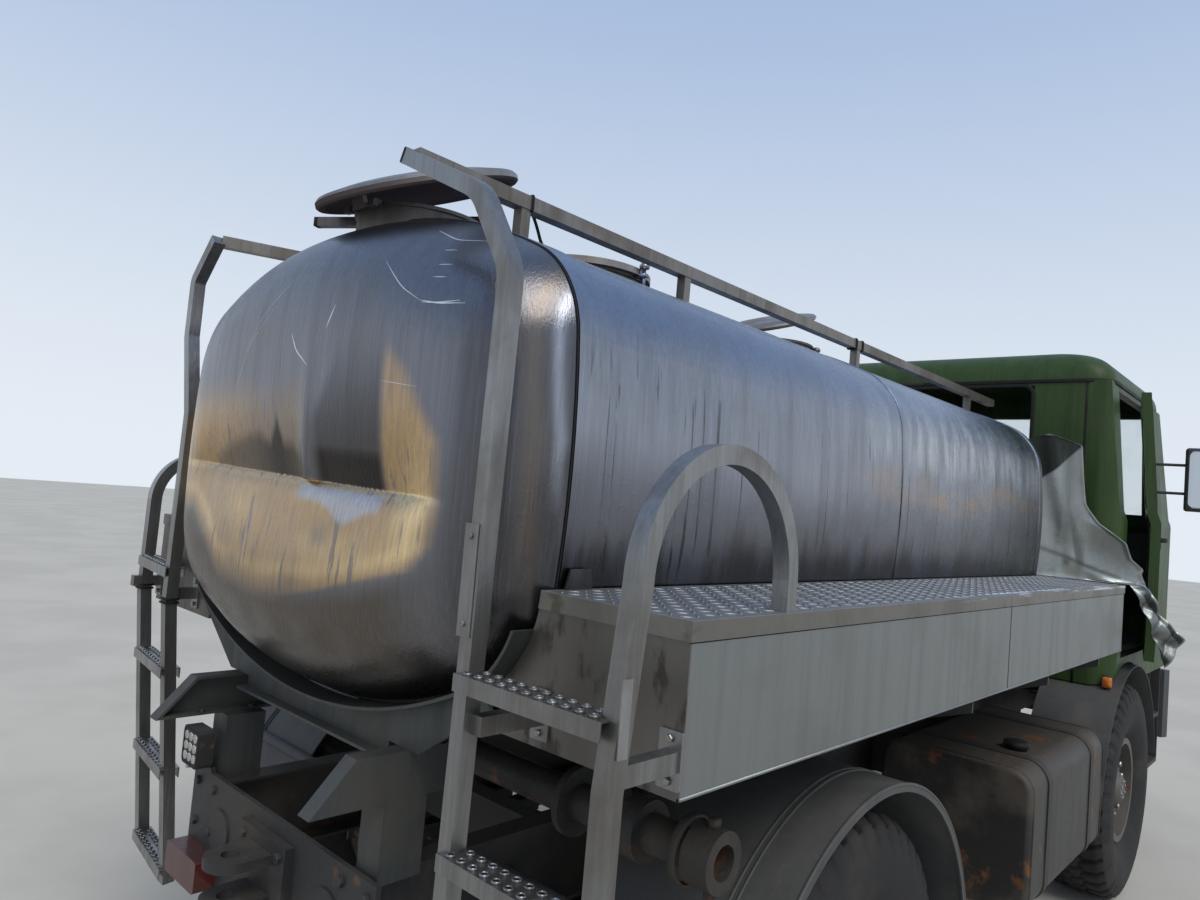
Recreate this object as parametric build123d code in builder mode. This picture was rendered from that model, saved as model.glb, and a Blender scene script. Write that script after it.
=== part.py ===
from build123d import *
from math import atan2, cos, degrees, radians, sin, sqrt
import os

os.makedirs("parts", exist_ok=True)

# Layout: X forward, Y to the left, Z up, ground at zero, millimetres
wheelbase = 3450
rear_axle_x = -1810
front_axle_x = rear_axle_x + wheelbase
loose_fit = 0.3
sides = {"right": -1, "left": 1}

# Wheels
tyre_radius = 590
tyre_width = 370
wheel_y = 990
bead_radius = 262
bead_half_width = 130
rim_flange = 12
rim_flange_radius = 286
barrel_thickness = 8
hub_radius = 112
drum_radius = 200
drum_inner = -60
drum_outer = 35
spindle_radius = 45
spindle_tip = 100
disc_face = 95
hand_hole_circle = 218
hand_hole_radius = 24
hand_hole_count = 10
axle_z = tyre_radius

# Steering
kingpin_y = wheel_y - 130
kingpin_radius = 18
knuckle_radius = 42
knuckle_half_height = 94
fork_gap = 6
ear_thickness = 26
ear_radius = 44
axle_tube_radius = 55

# Frame
rail_half_width = 420
rail_top = axle_z + 450
rail_height = 240
rail_flange = 72
rail_thickness = 8
frame_rear_x = rear_axle_x - 1070
frame_front_x = front_axle_x + 1220
spring_half_span = 540
spring_width = 62
spring_y = rail_half_width - rail_flange / 2
spring_top = axle_z + 146
spring_rise = 34
leaf_thickness = 12
leaf_half_lengths = [540, 500, 425, 350, 270, 190]

# Tank
tank_z = rail_top + 1007
tank_half_width = 857
tank_half_height = 665
crown_radius = 1588
flank_radius = 2777
corner_radius = 274
shell_rear_x = rear_axle_x - 941
shell_front_x = front_axle_x - 847
rear_head_depth = 265
front_head_depth = 215
head_crown = 40
head_power = 7.8
head_rows = [1, 0.985, 0.96, 0.92, 0.86, 0.76, 0.6, 0.4, 0.2]
band_thickness = 5
seam_gap = 6
rear_band_width = 97
front_band_width = 40
mid_seam_x = -1000

# Manholes: place, neck radius, height over the crown; lids by neck, radius, depth, opening and hinge
manholes = [(shell_rear_x + 136, 190, 46), (shell_rear_x + 835, 225, 51), (shell_front_x - 1422, 205, 61)]
manhole_wall = 6
closed_lid_radius = 250
closed_lid_depth = 50
lid_lift = 6
open_lids = {"rear_lid": (0, 303, 46, 20.8, (209, 18), (6, 48)),
             "third_lid": (2, 227, 34, 21.4, (243, -4), (50, 4))}
prop_bar = 28

# Walkways
walkway_outer_y = 1250
walkway_top = tank_z - 270
walkway_height = 321
walkway_rear_x = shell_rear_x - 49
walkway_length = shell_front_x + 16 - walkway_rear_x
walkway_inner_y = tank_half_width - 95
deck_thickness = 5
trim_height = 39
trim_thickness = 4

# Ladders and rails
tube = 38
outer_stile_y = walkway_outer_y - 22
inner_stile_y = outer_stile_y - 388
left_stile_top_y = inner_stile_y - 28
right_ladder_x = shell_rear_x - 219
left_ladder_x = shell_rear_x - 142
left_outer_shift = 45
left_foot_lean = 97
lean_top_z = walkway_top - 277
top_rung_z = walkway_top - 157
rung_pitch = 341
rung_count = 4
rung_depth = 62
rung_height = 34
rung_wall = 3
stile_foot_z = top_rung_z - (rung_count - 1) * rung_pitch - 52
hoops = {"right": (35, walkway_top + 66, 242), "left": (0, walkway_top + 53, 172)}
rail_y = 447
rail_z = tank_z + tank_half_height + 37
rail_front_x = front_axle_x - 470
post_places = [shell_rear_x + 146, shell_rear_x + 867, shell_front_x - 1422, shell_front_x - 23]

# Fenders
fender_inner_radius = tyre_radius + 95
mudguard_inner_radius = tyre_radius + 110
fender_sheet = 6
fender_inner_y = wheel_y - 300
fender_outer_y = wheel_y + 225
mudguard_inner_y = wheel_y - 200
mudguard_outer_y = wheel_y + 182
strut_radius = 18
strut_angle = 30

# Fuel tank
fuel_length = 1210
fuel_rear_x = front_axle_x - 760 - fuel_length
fuel_bottom = axle_z - 120
fuel_top = rail_top
fuel_inner_y = rail_half_width + 140
fuel_outer_y = 1180
fuel_corner = 90
strap_thickness = 5
strap_width = 55

# Cab
cab_rear_x = front_axle_x - 380
cab_front_x = front_axle_x + 1310
cab_half_width = 1130
cab_bottom = rail_top + 140
cab_waist = rail_top + 1110
cab_roof_seam = rail_top + 1850
cab_roof_top = rail_top + 2055
cab_wall = 48
cab_corner = 130
arch_gap = 10
floor_top = rail_top + 340
floor_thickness = 36
door_rear_x = cab_rear_x + 190
door_front_x = front_axle_x + 710
door_bottom = rail_top + 312
door_top = cab_roof_seam - 48
door_gap = 7
door_ajar = 10
hinge_outset = 14
glass_thickness = 6
glass_inset = 20
rear_window_half_width = cab_half_width - 470
rear_window_bottom = cab_waist + 180
rear_window_top = cab_roof_seam - 18
seam_y = cab_half_width - 195

# Engine
engine_front_x = front_axle_x + 860
engine_length = 1150
engine_half_width = rail_half_width - 90
engine_bottom = rail_top - 210
engine_top = rail_top + 520

pieces = {}


def across(x):
    """Plane across the vehicle at x, with local x to the left and local y up."""
    return Plane.YZ.offset(x)


def tank_outline(grow=0, size=1, mode=Mode.ADD):
    """Tank section scaled by size, then grown evenly: crown, corner and flank arcs, tangent in turn."""
    to_crown = crown_radius - corner_radius
    to_flank = flank_radius - corner_radius
    crown = Vector(0, tank_half_height - crown_radius)
    flank = Vector(tank_half_width - flank_radius, 0)
    span = (flank - crown).length
    along = (to_crown**2 - to_flank**2 + span**2) / (2 * span)
    aside = sqrt(to_crown**2 - along**2)
    unit = (flank - crown) / span
    corner = crown + unit * along + Vector(unit.Y, -unit.X) * aside
    crown_angle = degrees(atan2(corner.Y - crown.Y, corner.X - crown.X))
    flank_angle = degrees(atan2(corner.Y - flank.Y, corner.X - flank.X))
    corner_sweep = crown_angle - flank_angle
    crown_arc, flank_arc, corner_arc = [size * r + grow for r in (crown_radius, flank_radius, corner_radius)]
    crown, flank, corner = crown * size, flank * size, corner * size
    with BuildLine() as outline:
        for half_turn, up, out in ((0, 1, 1), (180, -1, -1)):
            CenterArc((0, tank_z + up * crown.Y), crown_arc, crown_angle + half_turn, 180 - 2 * crown_angle)
            CenterArc((out * flank.X, tank_z), flank_arc, half_turn - flank_angle, 2 * flank_angle)
            CenterArc((out * corner.X, tank_z + up * corner.Y), corner_arc,
                      half_turn + flank_angle, corner_sweep)
            CenterArc((-out * corner.X, tank_z + up * corner.Y), corner_arc,
                      half_turn + 180 - crown_angle, corner_sweep)
    make_face(outline.edges(), mode=mode)


def tank_top(y):
    """Height of the tank's crown above the ground at a distance y from the middle."""
    return tank_z + tank_half_height - crown_radius + sqrt(crown_radius**2 - y**2)


def wheel_plane(x, side):
    """Plane through a wheel's axis, with local x outwards and local y up."""
    return Plane((x, side * wheel_y, axle_z), x_dir=(0, side, 0), z_dir=(side, 0, 0))


def wheel_axis(x, side):
    return Axis((x, side * wheel_y, axle_z), (0, side, 0))


# Tyres and rims
shoulder = 160
sidewall_bulge_radius = 430
for place, axle_x in (("front", front_axle_x), ("rear", rear_axle_x)):
    for hand, side in sides.items():
        with BuildPart() as tyre:
            with BuildSketch(wheel_plane(axle_x, side)):
                with BuildLine():
                    for out in (1, -1):
                        Line((out * bead_half_width, bead_radius), (out * bead_half_width, bead_radius + 30))
                        ThreePointArc((out * bead_half_width, bead_radius + 30),
                                      (out * tyre_width / 2, sidewall_bulge_radius),
                                      (out * shoulder, tyre_radius - 22))
                        Line((out * shoulder, tyre_radius - 22), (out * (shoulder - 22), tyre_radius - 2))
                    ThreePointArc((shoulder - 22, tyre_radius - 2), (0, tyre_radius),
                                  (22 - shoulder, tyre_radius - 2))
                    Line((-bead_half_width, bead_radius), (bead_half_width, bead_radius))
                make_face()
            revolve(axis=wheel_axis(axle_x, side))
        pieces[f"tyre_{place}_{hand}"] = tyre

        with BuildPart() as rim:
            barrel = bead_radius - loose_fit
            inside = barrel - barrel_thickness
            edge = bead_half_width + loose_fit
            spindle_bore = spindle_radius + loose_fit
            with BuildSketch(wheel_plane(axle_x, side)):
                with BuildLine():
                    Polyline((edge + rim_flange, inside), (edge + rim_flange, rim_flange_radius),
                             (edge, rim_flange_radius), (edge, barrel), (-edge, barrel),
                             (-edge, rim_flange_radius), (-edge - rim_flange, rim_flange_radius),
                             (-edge - rim_flange, inside), (20, inside), (disc_face - 12, 178),
                             (disc_face - 12, drum_radius - 60), (drum_outer, drum_radius - 60),
                             (drum_outer, drum_radius), (drum_inner, drum_radius), (drum_inner, spindle_bore),
                             (spindle_tip + 1, spindle_bore),
                             (spindle_tip + 1, 0), (spindle_tip + 46, 0), (spindle_tip + 46, 62),
                             (spindle_tip + 34, 78), (disc_face, hub_radius), (disc_face, 182), (36, inside),
                             close=True)
                make_face()
            revolve(axis=wheel_axis(axle_x, side))
            hole_face = Plane((axle_x, side * (wheel_y + disc_face + 20), axle_z), z_dir=(0, side, 0))
            with BuildSketch(hole_face):
                with PolarLocations(hand_hole_circle, hand_hole_count):
                    Circle(hand_hole_radius)
            extrude(amount=-120, mode=Mode.SUBTRACT)
        pieces[f"rim_{place}_{hand}"] = rim

# Frame: two channel rails joined by crossmembers, with hanger cheeks for the springs
gearbox_length = 620
crossmembers = [rear_axle_x - 440, rear_axle_x + 560, front_axle_x - 1970,
                engine_front_x - engine_length - gearbox_length - 190, frame_front_x - 70]
crossmember_size = (70, 130)
cheek_thickness = 7
with BuildPart() as chassis_frame:
    for side in (-1, 1):
        with BuildSketch(across(frame_rear_x)):
            with BuildLine():
                web, lip = side * rail_half_width, side * (rail_half_width - rail_flange)
                skin = side * (rail_half_width - rail_thickness)
                low = rail_top - rail_height
                Polyline((web, low), (web, rail_top), (lip, rail_top), (lip, rail_top - rail_thickness),
                         (skin, rail_top - rail_thickness), (skin, low + rail_thickness),
                         (lip, low + rail_thickness), (lip, low), close=True)
            make_face()
        extrude(amount=frame_front_x - frame_rear_x)
    for x in crossmembers:
        with Locations((x, 0, rail_top - rail_thickness - crossmember_size[1] / 2)):
            Box(crossmember_size[0], 2 * (rail_half_width - rail_thickness), crossmember_size[1])
    for axle_x in (rear_axle_x, front_axle_x):
        for end in (-1, 1):
            for side in (-1, 1):
                for edge in (-1, 1):
                    cheek_y = side * spring_y + edge * (spring_width / 2 + loose_fit + cheek_thickness / 2)
                    with Locations((axle_x + end * spring_half_span, cheek_y, low)):
                        Box(76, cheek_thickness, 62, align=(Align.CENTER, Align.CENTER, Align.MAX))
    rear_plate_depth = 300
    with Locations((frame_rear_x, 0, rail_top + 20)):
        Box(14, 2 * rail_half_width + 170, rear_plate_depth, align=(Align.MAX, Align.CENTER, Align.MAX))
    with Locations(Plane.YZ.offset(frame_rear_x - 14)):
        with Locations((-300, rail_top - 120), (300, rail_top - 120)):
            Cylinder(62, 6, align=(Align.CENTER, Align.CENTER, Align.MAX))
pieces["chassis_frame"] = chassis_frame

# Towing jaw: two bored ears on a bolted foot
jaw_bore = 24
jaw_gap = 78
ear = 26
jaw_z = rail_top - 120
with BuildPart() as towing_jaw:
    with Locations((frame_rear_x - 14, 0, jaw_z)):
        Box(24, 260, 200, align=(Align.MAX, Align.CENTER, Align.CENTER))
    for level in (jaw_z - jaw_gap / 2 - ear, jaw_z + jaw_gap / 2):
        with BuildSketch(Plane.XY.offset(level)):
            with Locations((frame_rear_x - 38, 0)):
                Rectangle(80, 130, align=(Align.MAX, Align.CENTER))
            with Locations((frame_rear_x - 118, 0)):
                Circle(65)
                Circle(jaw_bore, mode=Mode.SUBTRACT)
        extrude(amount=ear)
pieces["towing_jaw"] = towing_jaw

# Leaf springs: each pack is a stack of shortening leaves with rolled eyes
def leaf(half_length, top):
    """Outline of one leaf in the XZ plane, bent up at its ends by the pack's own curve."""
    rise = spring_rise * (half_length / spring_half_span) ** 2
    with BuildLine() as outline:
        ThreePointArc((-half_length, top + rise), (0, top), (half_length, top + rise))
        Line((half_length, top + rise), (half_length, top + rise - leaf_thickness))
        ThreePointArc((half_length, top + rise - leaf_thickness), (0, top - leaf_thickness),
                      (-half_length, top + rise - leaf_thickness))
        Line((-half_length, top + rise - leaf_thickness), (-half_length, top + rise))
    make_face(outline.edges())


eye_radius = 20
with BuildPart() as leaf_springs:
    for axle_x in (rear_axle_x, front_axle_x):
        for side in (-1, 1):
            spring_plane = Plane((axle_x, side * spring_y, 0), x_dir=(1, 0, 0), z_dir=(0, -1, 0))
            for row, half_length in enumerate(leaf_half_lengths):
                with BuildSketch(spring_plane):
                    leaf(half_length, spring_top - row * leaf_thickness)
                extrude(amount=spring_width / 2 - 2 * (row % 2), both=True)
            with BuildSketch(spring_plane):
                for end in (-1, 1):
                    with Locations((end * spring_half_span, spring_top + spring_rise - leaf_thickness / 2)):
                        Circle(eye_radius)
            extrude(amount=spring_width / 2, both=True)
pieces["leaf_springs"] = leaf_springs

# Axles
pack_height = leaf_thickness * len(leaf_half_lengths)
seat_top = spring_top - pack_height
diff_radius = 175
diff_offset = 120
with BuildPart() as rear_axle:
    with Locations((rear_axle_x, 0, axle_z)):
        Cylinder(axle_tube_radius + 8, 2 * (wheel_y + drum_inner - 12), rotation=(90, 0, 0))
        Cylinder(spindle_radius, 2 * (wheel_y + spindle_tip), rotation=(90, 0, 0))
        Sphere(diff_radius)
        with Locations((diff_offset, 0, 0)):
            Cylinder(105, 200, rotation=(0, 90, 0))
    for side in (-1, 1):
        with Locations((rear_axle_x, side * spring_y, seat_top)):
            Box(150, spring_width, seat_top - axle_z, align=(Align.CENTER, Align.CENTER, Align.MAX))
        with Locations((rear_axle_x, side * (wheel_y + drum_inner - 6), axle_z)):
            Cylinder(drum_radius - 20, 10, rotation=(90, 0, 0))
pieces["rear_axle"] = rear_axle

web_depth = 40
ear_top = knuckle_half_height + fork_gap + ear_thickness
with BuildPart() as front_axle:
    tube_end = kingpin_y - ear_radius - web_depth / 2
    with Locations((front_axle_x, 0, axle_z)):
        Cylinder(axle_tube_radius, 2 * tube_end, rotation=(90, 0, 0))
        Sphere(diff_radius)
        with Locations((-diff_offset, 0, 0)):
            Cylinder(95, 190, rotation=(0, 90, 0))
    for side in (-1, 1):
        with Locations((front_axle_x, side * spring_y, seat_top)):
            Box(150, spring_width, seat_top - axle_z, align=(Align.CENTER, Align.CENTER, Align.MAX))
        with Locations((front_axle_x, side * (kingpin_y - ear_radius - web_depth / 2 - 6), axle_z)):
            Box(2 * ear_radius - 14, web_depth, 2 * ear_top)
        for level in (axle_z - ear_top, axle_z + ear_top - ear_thickness):
            with BuildSketch(Plane.XY.offset(level)):
                with Locations((front_axle_x, side * kingpin_y)):
                    Circle(ear_radius)
                    with Locations((0, -side * (ear_radius + 13))):
                        Rectangle(2 * ear_radius - 14, 2 * ear_radius + 26)
                    Circle(kingpin_radius + loose_fit, mode=Mode.SUBTRACT)
            extrude(amount=ear_thickness)
pieces["front_axle"] = front_axle

arm_length = 150
arm_thickness = 20
for hand, side in sides.items():
    with BuildPart() as knuckle:
        with Locations((front_axle_x, side * kingpin_y, axle_z)):
            Cylinder(knuckle_radius, 2 * knuckle_half_height)
            Cylinder(kingpin_radius, 2 * ear_top + 12)
        kingpin = (front_axle_x, side * kingpin_y, axle_z)
        with BuildSketch(Plane(kingpin, x_dir=(1, 0, 0), z_dir=(0, side, 0))):
            Circle(spindle_radius)
        extrude(amount=wheel_y + spindle_tip - kingpin_y)
        with BuildSketch(Plane.XY.offset(axle_z - ear_top - 6)):
            with Locations((front_axle_x, side * kingpin_y)):
                Circle(32)
                Rectangle(arm_length, 36, align=(Align.MAX, Align.CENTER))
                with Locations((-arm_length, 0)):
                    Circle(24)
        extrude(amount=-arm_thickness)
    pieces[f"knuckle_{hand}"] = knuckle

# Engine block with its feet, gearbox and shafts, radiator
with BuildPart() as engine_block:
    engine_mid_x = engine_front_x - engine_length / 2
    with Locations((engine_mid_x, 0, engine_bottom)):
        Box(engine_length, 2 * engine_half_width, engine_top - engine_bottom,
            align=(Align.CENTER, Align.CENTER, Align.MIN))
    for x in (engine_mid_x - 380, engine_mid_x + 380):
        with Locations((x, 0, rail_top - rail_height + rail_thickness)):
            Box(120, 2 * (rail_half_width - rail_thickness), 60,
                align=(Align.CENTER, Align.CENTER, Align.MIN))
pieces["engine_block"] = engine_block

shaft_radius = 42
with BuildPart() as gearbox_and_shafts:
    gearbox_front = engine_front_x - engine_length
    with BuildSketch(across(gearbox_front)):
        with Locations((0, rail_top - 150)):
            Circle(205)
    with BuildSketch(across(gearbox_front - gearbox_length)):
        with Locations((0, rail_top - 170)):
            Circle(140)
    loft()
    rear_flange_x = rear_axle_x + diff_offset + 100
    run = gearbox_front - gearbox_length + 20 - rear_flange_x
    drop = rail_top - 170 - axle_z
    with BuildSketch(Plane((rear_flange_x - 20, 0, axle_z), z_dir=(run, 0, drop))):
        Circle(shaft_radius)
    extrude(amount=sqrt(run**2 + drop**2))
    with Locations((rear_flange_x, 0, axle_z)):
        Box(200, 300, 300, align=(Align.MAX, Align.CENTER, Align.CENTER), mode=Mode.SUBTRACT)
    with Locations((gearbox_front - 180, 0, rail_top - 230)):
        Box(260, 300, 310, align=(Align.CENTER, Align.CENTER, Align.MAX))
    with BuildSketch(across(gearbox_front - 60)):
        with Locations((0, axle_z)):
            Circle(shaft_radius - 6)
    extrude(amount=front_axle_x - diff_offset - 95 - gearbox_front + 60)
pieces["gearbox_and_shafts"] = gearbox_and_shafts

with BuildPart() as radiator:
    with Locations((engine_front_x + 130, 0, rail_top)):
        Box(90, 640, 540, align=(Align.CENTER, Align.CENTER, Align.MIN))
    for side in (-1, 1):
        with Locations((engine_front_x + 130, side * (rail_half_width - 50), rail_top)):
            Box(90, 100, 60, align=(Align.CENTER, Align.CENTER, Align.MIN))
pieces["radiator"] = radiator

# Tank
with BuildPart() as tank_shell:
    with BuildSketch(across(shell_rear_x)):
        tank_outline()
    extrude(amount=shell_front_x - shell_rear_x)
pieces["tank_shell"] = tank_shell

for label, face_x, way, depth in (("tank_rear_head", shell_rear_x, -1, rear_head_depth),
                                  ("tank_front_head", shell_front_x, 1, front_head_depth)):
    with BuildPart() as head:
        for size in head_rows:
            rise = (depth - head_crown) * (1 - size**head_power) + head_crown * (1 - size**2)
            with BuildSketch(across(face_x + way * rise)):
                tank_outline(size=size)
        loft()
    pieces[label] = head
tank_rear_head = pieces["tank_rear_head"].part
tank_front_head = pieces["tank_front_head"].part

with BuildPart() as tank_bands:
    for start, width, thick in ((shell_rear_x + seam_gap, rear_band_width, band_thickness),
                                (shell_front_x - front_band_width, front_band_width, band_thickness),
                                (mid_seam_x, 8, 2)):
        with BuildSketch(across(start)):
            tank_outline(grow=thick)
        extrude(amount=width)
    with BuildSketch(across(shell_rear_x)):
        tank_outline()
    extrude(amount=shell_front_x - shell_rear_x, mode=Mode.SUBTRACT)
pieces["tank_bands"] = tank_bands

# Saddles: a cradle strip round the tank's belly, a web to the rails and arms to the walkways; the rear one
# stands on two lipped bracket plates instead, and has no arms
saddle_places = [shell_rear_x - 59, rear_axle_x + 690, shell_front_x - 1033, shell_front_x - 173]
saddle_width = 80
saddle_web = 12
cradle_thickness = 8
cradle_top = tank_z - 357
arm_root_z = rail_top + 90
walkway_bottom = walkway_top - walkway_height
bracket_y = 470
bracket_bottom = rail_top + 190
bracket_top = rail_top + 305
bracket_lip = 50
bracket_sheet = 8
with BuildPart() as tank_saddles:
    for row, x in enumerate(saddle_places):
        with BuildSketch(across(x - saddle_width / 2)):
            tank_outline(grow=cradle_thickness)
            Rectangle(4 * tank_half_width, 2 * cradle_top, mode=Mode.INTERSECT)
        extrude(amount=saddle_width)
        outline = [(rail_half_width + 10, rail_top), (rail_half_width + 40, arm_root_z),
                   (walkway_outer_y - 60, walkway_bottom - 70), (walkway_outer_y - 60, walkway_bottom),
                   (walkway_inner_y, walkway_bottom), (tank_half_width - 150, cradle_top - 150)]
        inner = [(rail_half_width - 90, rail_top), (rail_half_width - 90, rail_top + 40),
                 (230, arm_root_z + 30)]
        if row == 0:
            outline = [(bracket_y + 40, bracket_top), (tank_half_width - 113, cradle_top - 190),
                       (tank_half_width - 157, cradle_top - 120)]
            inner = [(bracket_y - 86, bracket_top), (bracket_y - 86, bracket_top - 35)]
        with BuildSketch(across(x - saddle_web / 2)):
            with BuildLine():
                right_edge = [(-y, z) for y, z in outline]
                right_inner = [(-y, z) for y, z in reversed(inner)]
                Polyline(*outline, *reversed(right_edge), *reversed(right_inner), *reversed(inner),
                         close=True)
            make_face()
        extrude(amount=saddle_web)
        if row == 0:
            with Locations((x, 0, bracket_top - 35)):
                Box(saddle_width, 2 * (bracket_y - 86), 8, align=(Align.CENTER, Align.CENTER, Align.MIN))
        for side in (-1, 1):
            if row == 0:
                with Locations((x, side * (bracket_y - 45), rail_top)):
                    Box(120, 90, bracket_bottom - rail_top, align=(Align.CENTER, Align.CENTER, Align.MIN))
                continue
            with Locations((x, side * (rail_half_width - 40), rail_top)):
                Box(saddle_width, 100, 10, align=(Align.CENTER, Align.CENTER, Align.MIN))
            with Locations((x, side * (walkway_outer_y - 260), walkway_bottom)):
                Box(saddle_width, 400, 8, align=(Align.CENTER, Align.CENTER, Align.MAX))
        with BuildSketch(across(x - saddle_width)):
            tank_outline()
        extrude(amount=2 * saddle_width, mode=Mode.SUBTRACT)
    front, tip, shoulder = shell_rear_x + 51, frame_rear_x - 180, frame_rear_x - 75
    for side in (-1, 1):
        for grow, start, mode in ((0, 0, Mode.ADD), (bracket_sheet, bracket_sheet, Mode.SUBTRACT)):
            plate = [(front + grow, bracket_bottom + grow), (tip + 2.2 * grow, bracket_bottom + grow),
                     (shoulder + 0.5 * grow, bracket_top - grow), (front + grow, bracket_top - grow)]
            face = Plane((0, side * (bracket_y - start), 0), x_dir=(side, 0, 0), z_dir=(0, -side, 0))
            with BuildSketch(face):
                with BuildLine():
                    Polyline(*[(side * x, z) for x, z in plate], close=True)
                make_face()
            extrude(amount=bracket_lip, mode=mode)
pieces["tank_saddles"] = tank_saddles

# Manholes: necks, the ears that carry the open lids, and the bar that props the rear one
crown_z = tank_z + tank_half_height
lid_hinges = {}
with BuildPart() as manhole_necks:
    for x, neck_radius, rise in manholes:
        for start, outer in ((tank_z, neck_radius), (crown_z + rise - 10, neck_radius + 8)):
            with BuildSketch(Plane.XY.offset(start)):
                with Locations((x, 0)):
                    Circle(outer)
                    Circle(neck_radius - manhole_wall, mode=Mode.SUBTRACT)
            extrude(amount=crown_z + rise - start)
    for label, (row, radius, depth, tilt, hinge_offset, strap) in open_lids.items():
        x, neck_radius, rise = manholes[row]
        hinge_x, hinge_z = x - hinge_offset[0], crown_z + rise + lid_lift - hinge_offset[1]
        lid_hinges[label] = (hinge_x, 0, hinge_z)
        for side in (-1, 1):
            with Locations((hinge_x - 8, side * 62, crown_z + rise - 12)):
                Box(x - neck_radius - hinge_x + 8, 30, 12, align=(Align.MIN, Align.CENTER, Align.MIN))
            with Locations((hinge_x, side * 62, crown_z + rise - 20)):
                Box(16, 30, hinge_z + 28 - crown_z - rise, align=(Align.CENTER, Align.CENTER, Align.MIN))
    x, neck_radius, rise = manholes[0]
    bar_end = (x - 156, 335, crown_z + rise + prop_bar / 2)
    with BuildSketch(Plane(bar_end, x_dir=(0.883, 0.47, 0), z_dir=(0.47, -0.883, 0))):
        Rectangle(prop_bar, prop_bar)
    extrude(amount=590)
    for solid in (tank_shell, tank_bands, tank_rear_head):
        add(solid, mode=Mode.SUBTRACT)
pieces["manhole_necks"] = manhole_necks


def lid_profile(radius, depth):
    """Half section of a closed lid: an upright rim and a shallow dome."""
    with BuildLine() as outline:
        Line((0, 0), (radius, 0))
        Line((radius, 0), (radius, depth * 0.45))
        TangentArc((0, depth), (radius, depth * 0.45), tangent=(1, 0))
        Line((0, depth), (0, 0))
    make_face(outline.edges())


def dished_profile(radius, depth):
    """Half section of an open lid: a flat crown, a sloping skin and a thick rolled rim, hollow below."""
    with BuildLine() as outline:
        Polyline((0, depth), (60, depth), (radius - 60, depth * 0.87), (radius - 8, depth * 0.6),
                 (radius, depth * 0.4), (radius, 6), (radius - 6, 0), (radius - 26, 0), (radius - 34, 8),
                 (80, depth - 10), (0, depth - 10), close=True)
    make_face(outline.edges())


with BuildPart() as closed_lids:
    x, neck_radius, rise = manholes[1]
    with BuildSketch(Plane((x, 0, crown_z + rise), x_dir=(1, 0, 0), z_dir=(0, -1, 0))):
        lid_profile(closed_lid_radius, closed_lid_depth)
    revolve(axis=Axis((x, 0, 0), (0, 0, 1)))
pieces["closed_lids"] = closed_lids

for label, (row, radius, depth, tilt, hinge_offset, strap) in open_lids.items():
    x, neck_radius, rise = manholes[row]
    hinge = lid_hinges[label]
    with BuildPart() as flat_lid:
        with BuildSketch(Plane((x, 0, crown_z + rise + lid_lift), x_dir=(1, 0, 0), z_dir=(0, -1, 0))):
            dished_profile(radius, depth)
        revolve(axis=Axis((x, 0, 0), (0, 0, 1)))
        with Locations(hinge):
            Cylinder(6, 82, rotation=(90, 0, 0))
        with Locations((hinge[0] - 6, 0, hinge[2] - 4)):
            Box(strap[0] + 6, 60, strap[1] + 4, align=(Align.MIN, Align.CENTER, Align.MIN))
    with BuildPart() as lid:
        add(flat_lid.part.rotate(Axis(hinge, (0, 1, 0)), -tilt))
    pieces[label] = lid

# Walkway lockers, and the tread-plate decks with a turned-down trim that cap them
with BuildPart() as walkway_lockers:
    for side in (-1, 1):
        with BuildSketch(across(walkway_rear_x + trim_thickness)):
            with Locations((side * (walkway_outer_y - trim_thickness), walkway_bottom)):
                Rectangle(walkway_outer_y - trim_thickness - walkway_inner_y, walkway_height - deck_thickness,
                          align=(Align.MAX if side > 0 else Align.MIN, Align.MIN))
            tank_outline(grow=cradle_thickness + 2, mode=Mode.SUBTRACT)
        extrude(amount=walkway_length - 2 * trim_thickness)
pieces["walkway_lockers"] = walkway_lockers

with BuildPart() as walkway_decks:
    for side in (-1, 1):
        with BuildSketch(across(walkway_rear_x)):
            with Locations((side * walkway_outer_y, walkway_top)):
                Rectangle(walkway_outer_y - walkway_inner_y, trim_height,
                          align=(Align.MAX if side > 0 else Align.MIN, Align.MAX))
            tank_outline(grow=cradle_thickness + 2, mode=Mode.SUBTRACT)
        extrude(amount=walkway_length)
    with BuildSketch(across(walkway_rear_x + trim_thickness)):
        with Locations((0, walkway_top - deck_thickness)):
            Rectangle(2 * (walkway_outer_y - trim_thickness), trim_height, align=(Align.CENTER, Align.MAX))
    extrude(amount=walkway_length - 2 * trim_thickness, mode=Mode.SUBTRACT)
pieces["walkway_decks"] = walkway_decks

# Top rails on short posts
with BuildPart() as top_rails:
    for side, rear_x in ((-1, right_ladder_x + tube / 2), (1, post_places[1])):
        with Locations((rear_x, side * rail_y, rail_z)):
            Box(rail_front_x - rear_x, tube, tube, align=(Align.MIN, Align.CENTER, Align.CENTER))
        for x in post_places:
            if x >= rear_x:
                with Locations((x, side * rail_y, rail_z)):
                    Box(tube - 6, tube - 6, rail_z - tank_top(rail_y) + 30,
                        align=(Align.CENTER, Align.CENTER, Align.MAX))
    reach_x = post_places[1] - left_ladder_x
    reach_y = left_stile_top_y - rail_y
    stile_top = (left_ladder_x + tube / 2, left_stile_top_y, rail_z)
    with BuildSketch(Plane(stile_top, z_dir=(reach_x, -reach_y, 0))):
        Rectangle(tube, tube)
    extrude(amount=sqrt(reach_x**2 + reach_y**2) - tube / 2)
    add(tank_shell, mode=Mode.SUBTRACT)
    add(tank_bands, mode=Mode.SUBTRACT)
pieces["top_rails"] = top_rails

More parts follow.
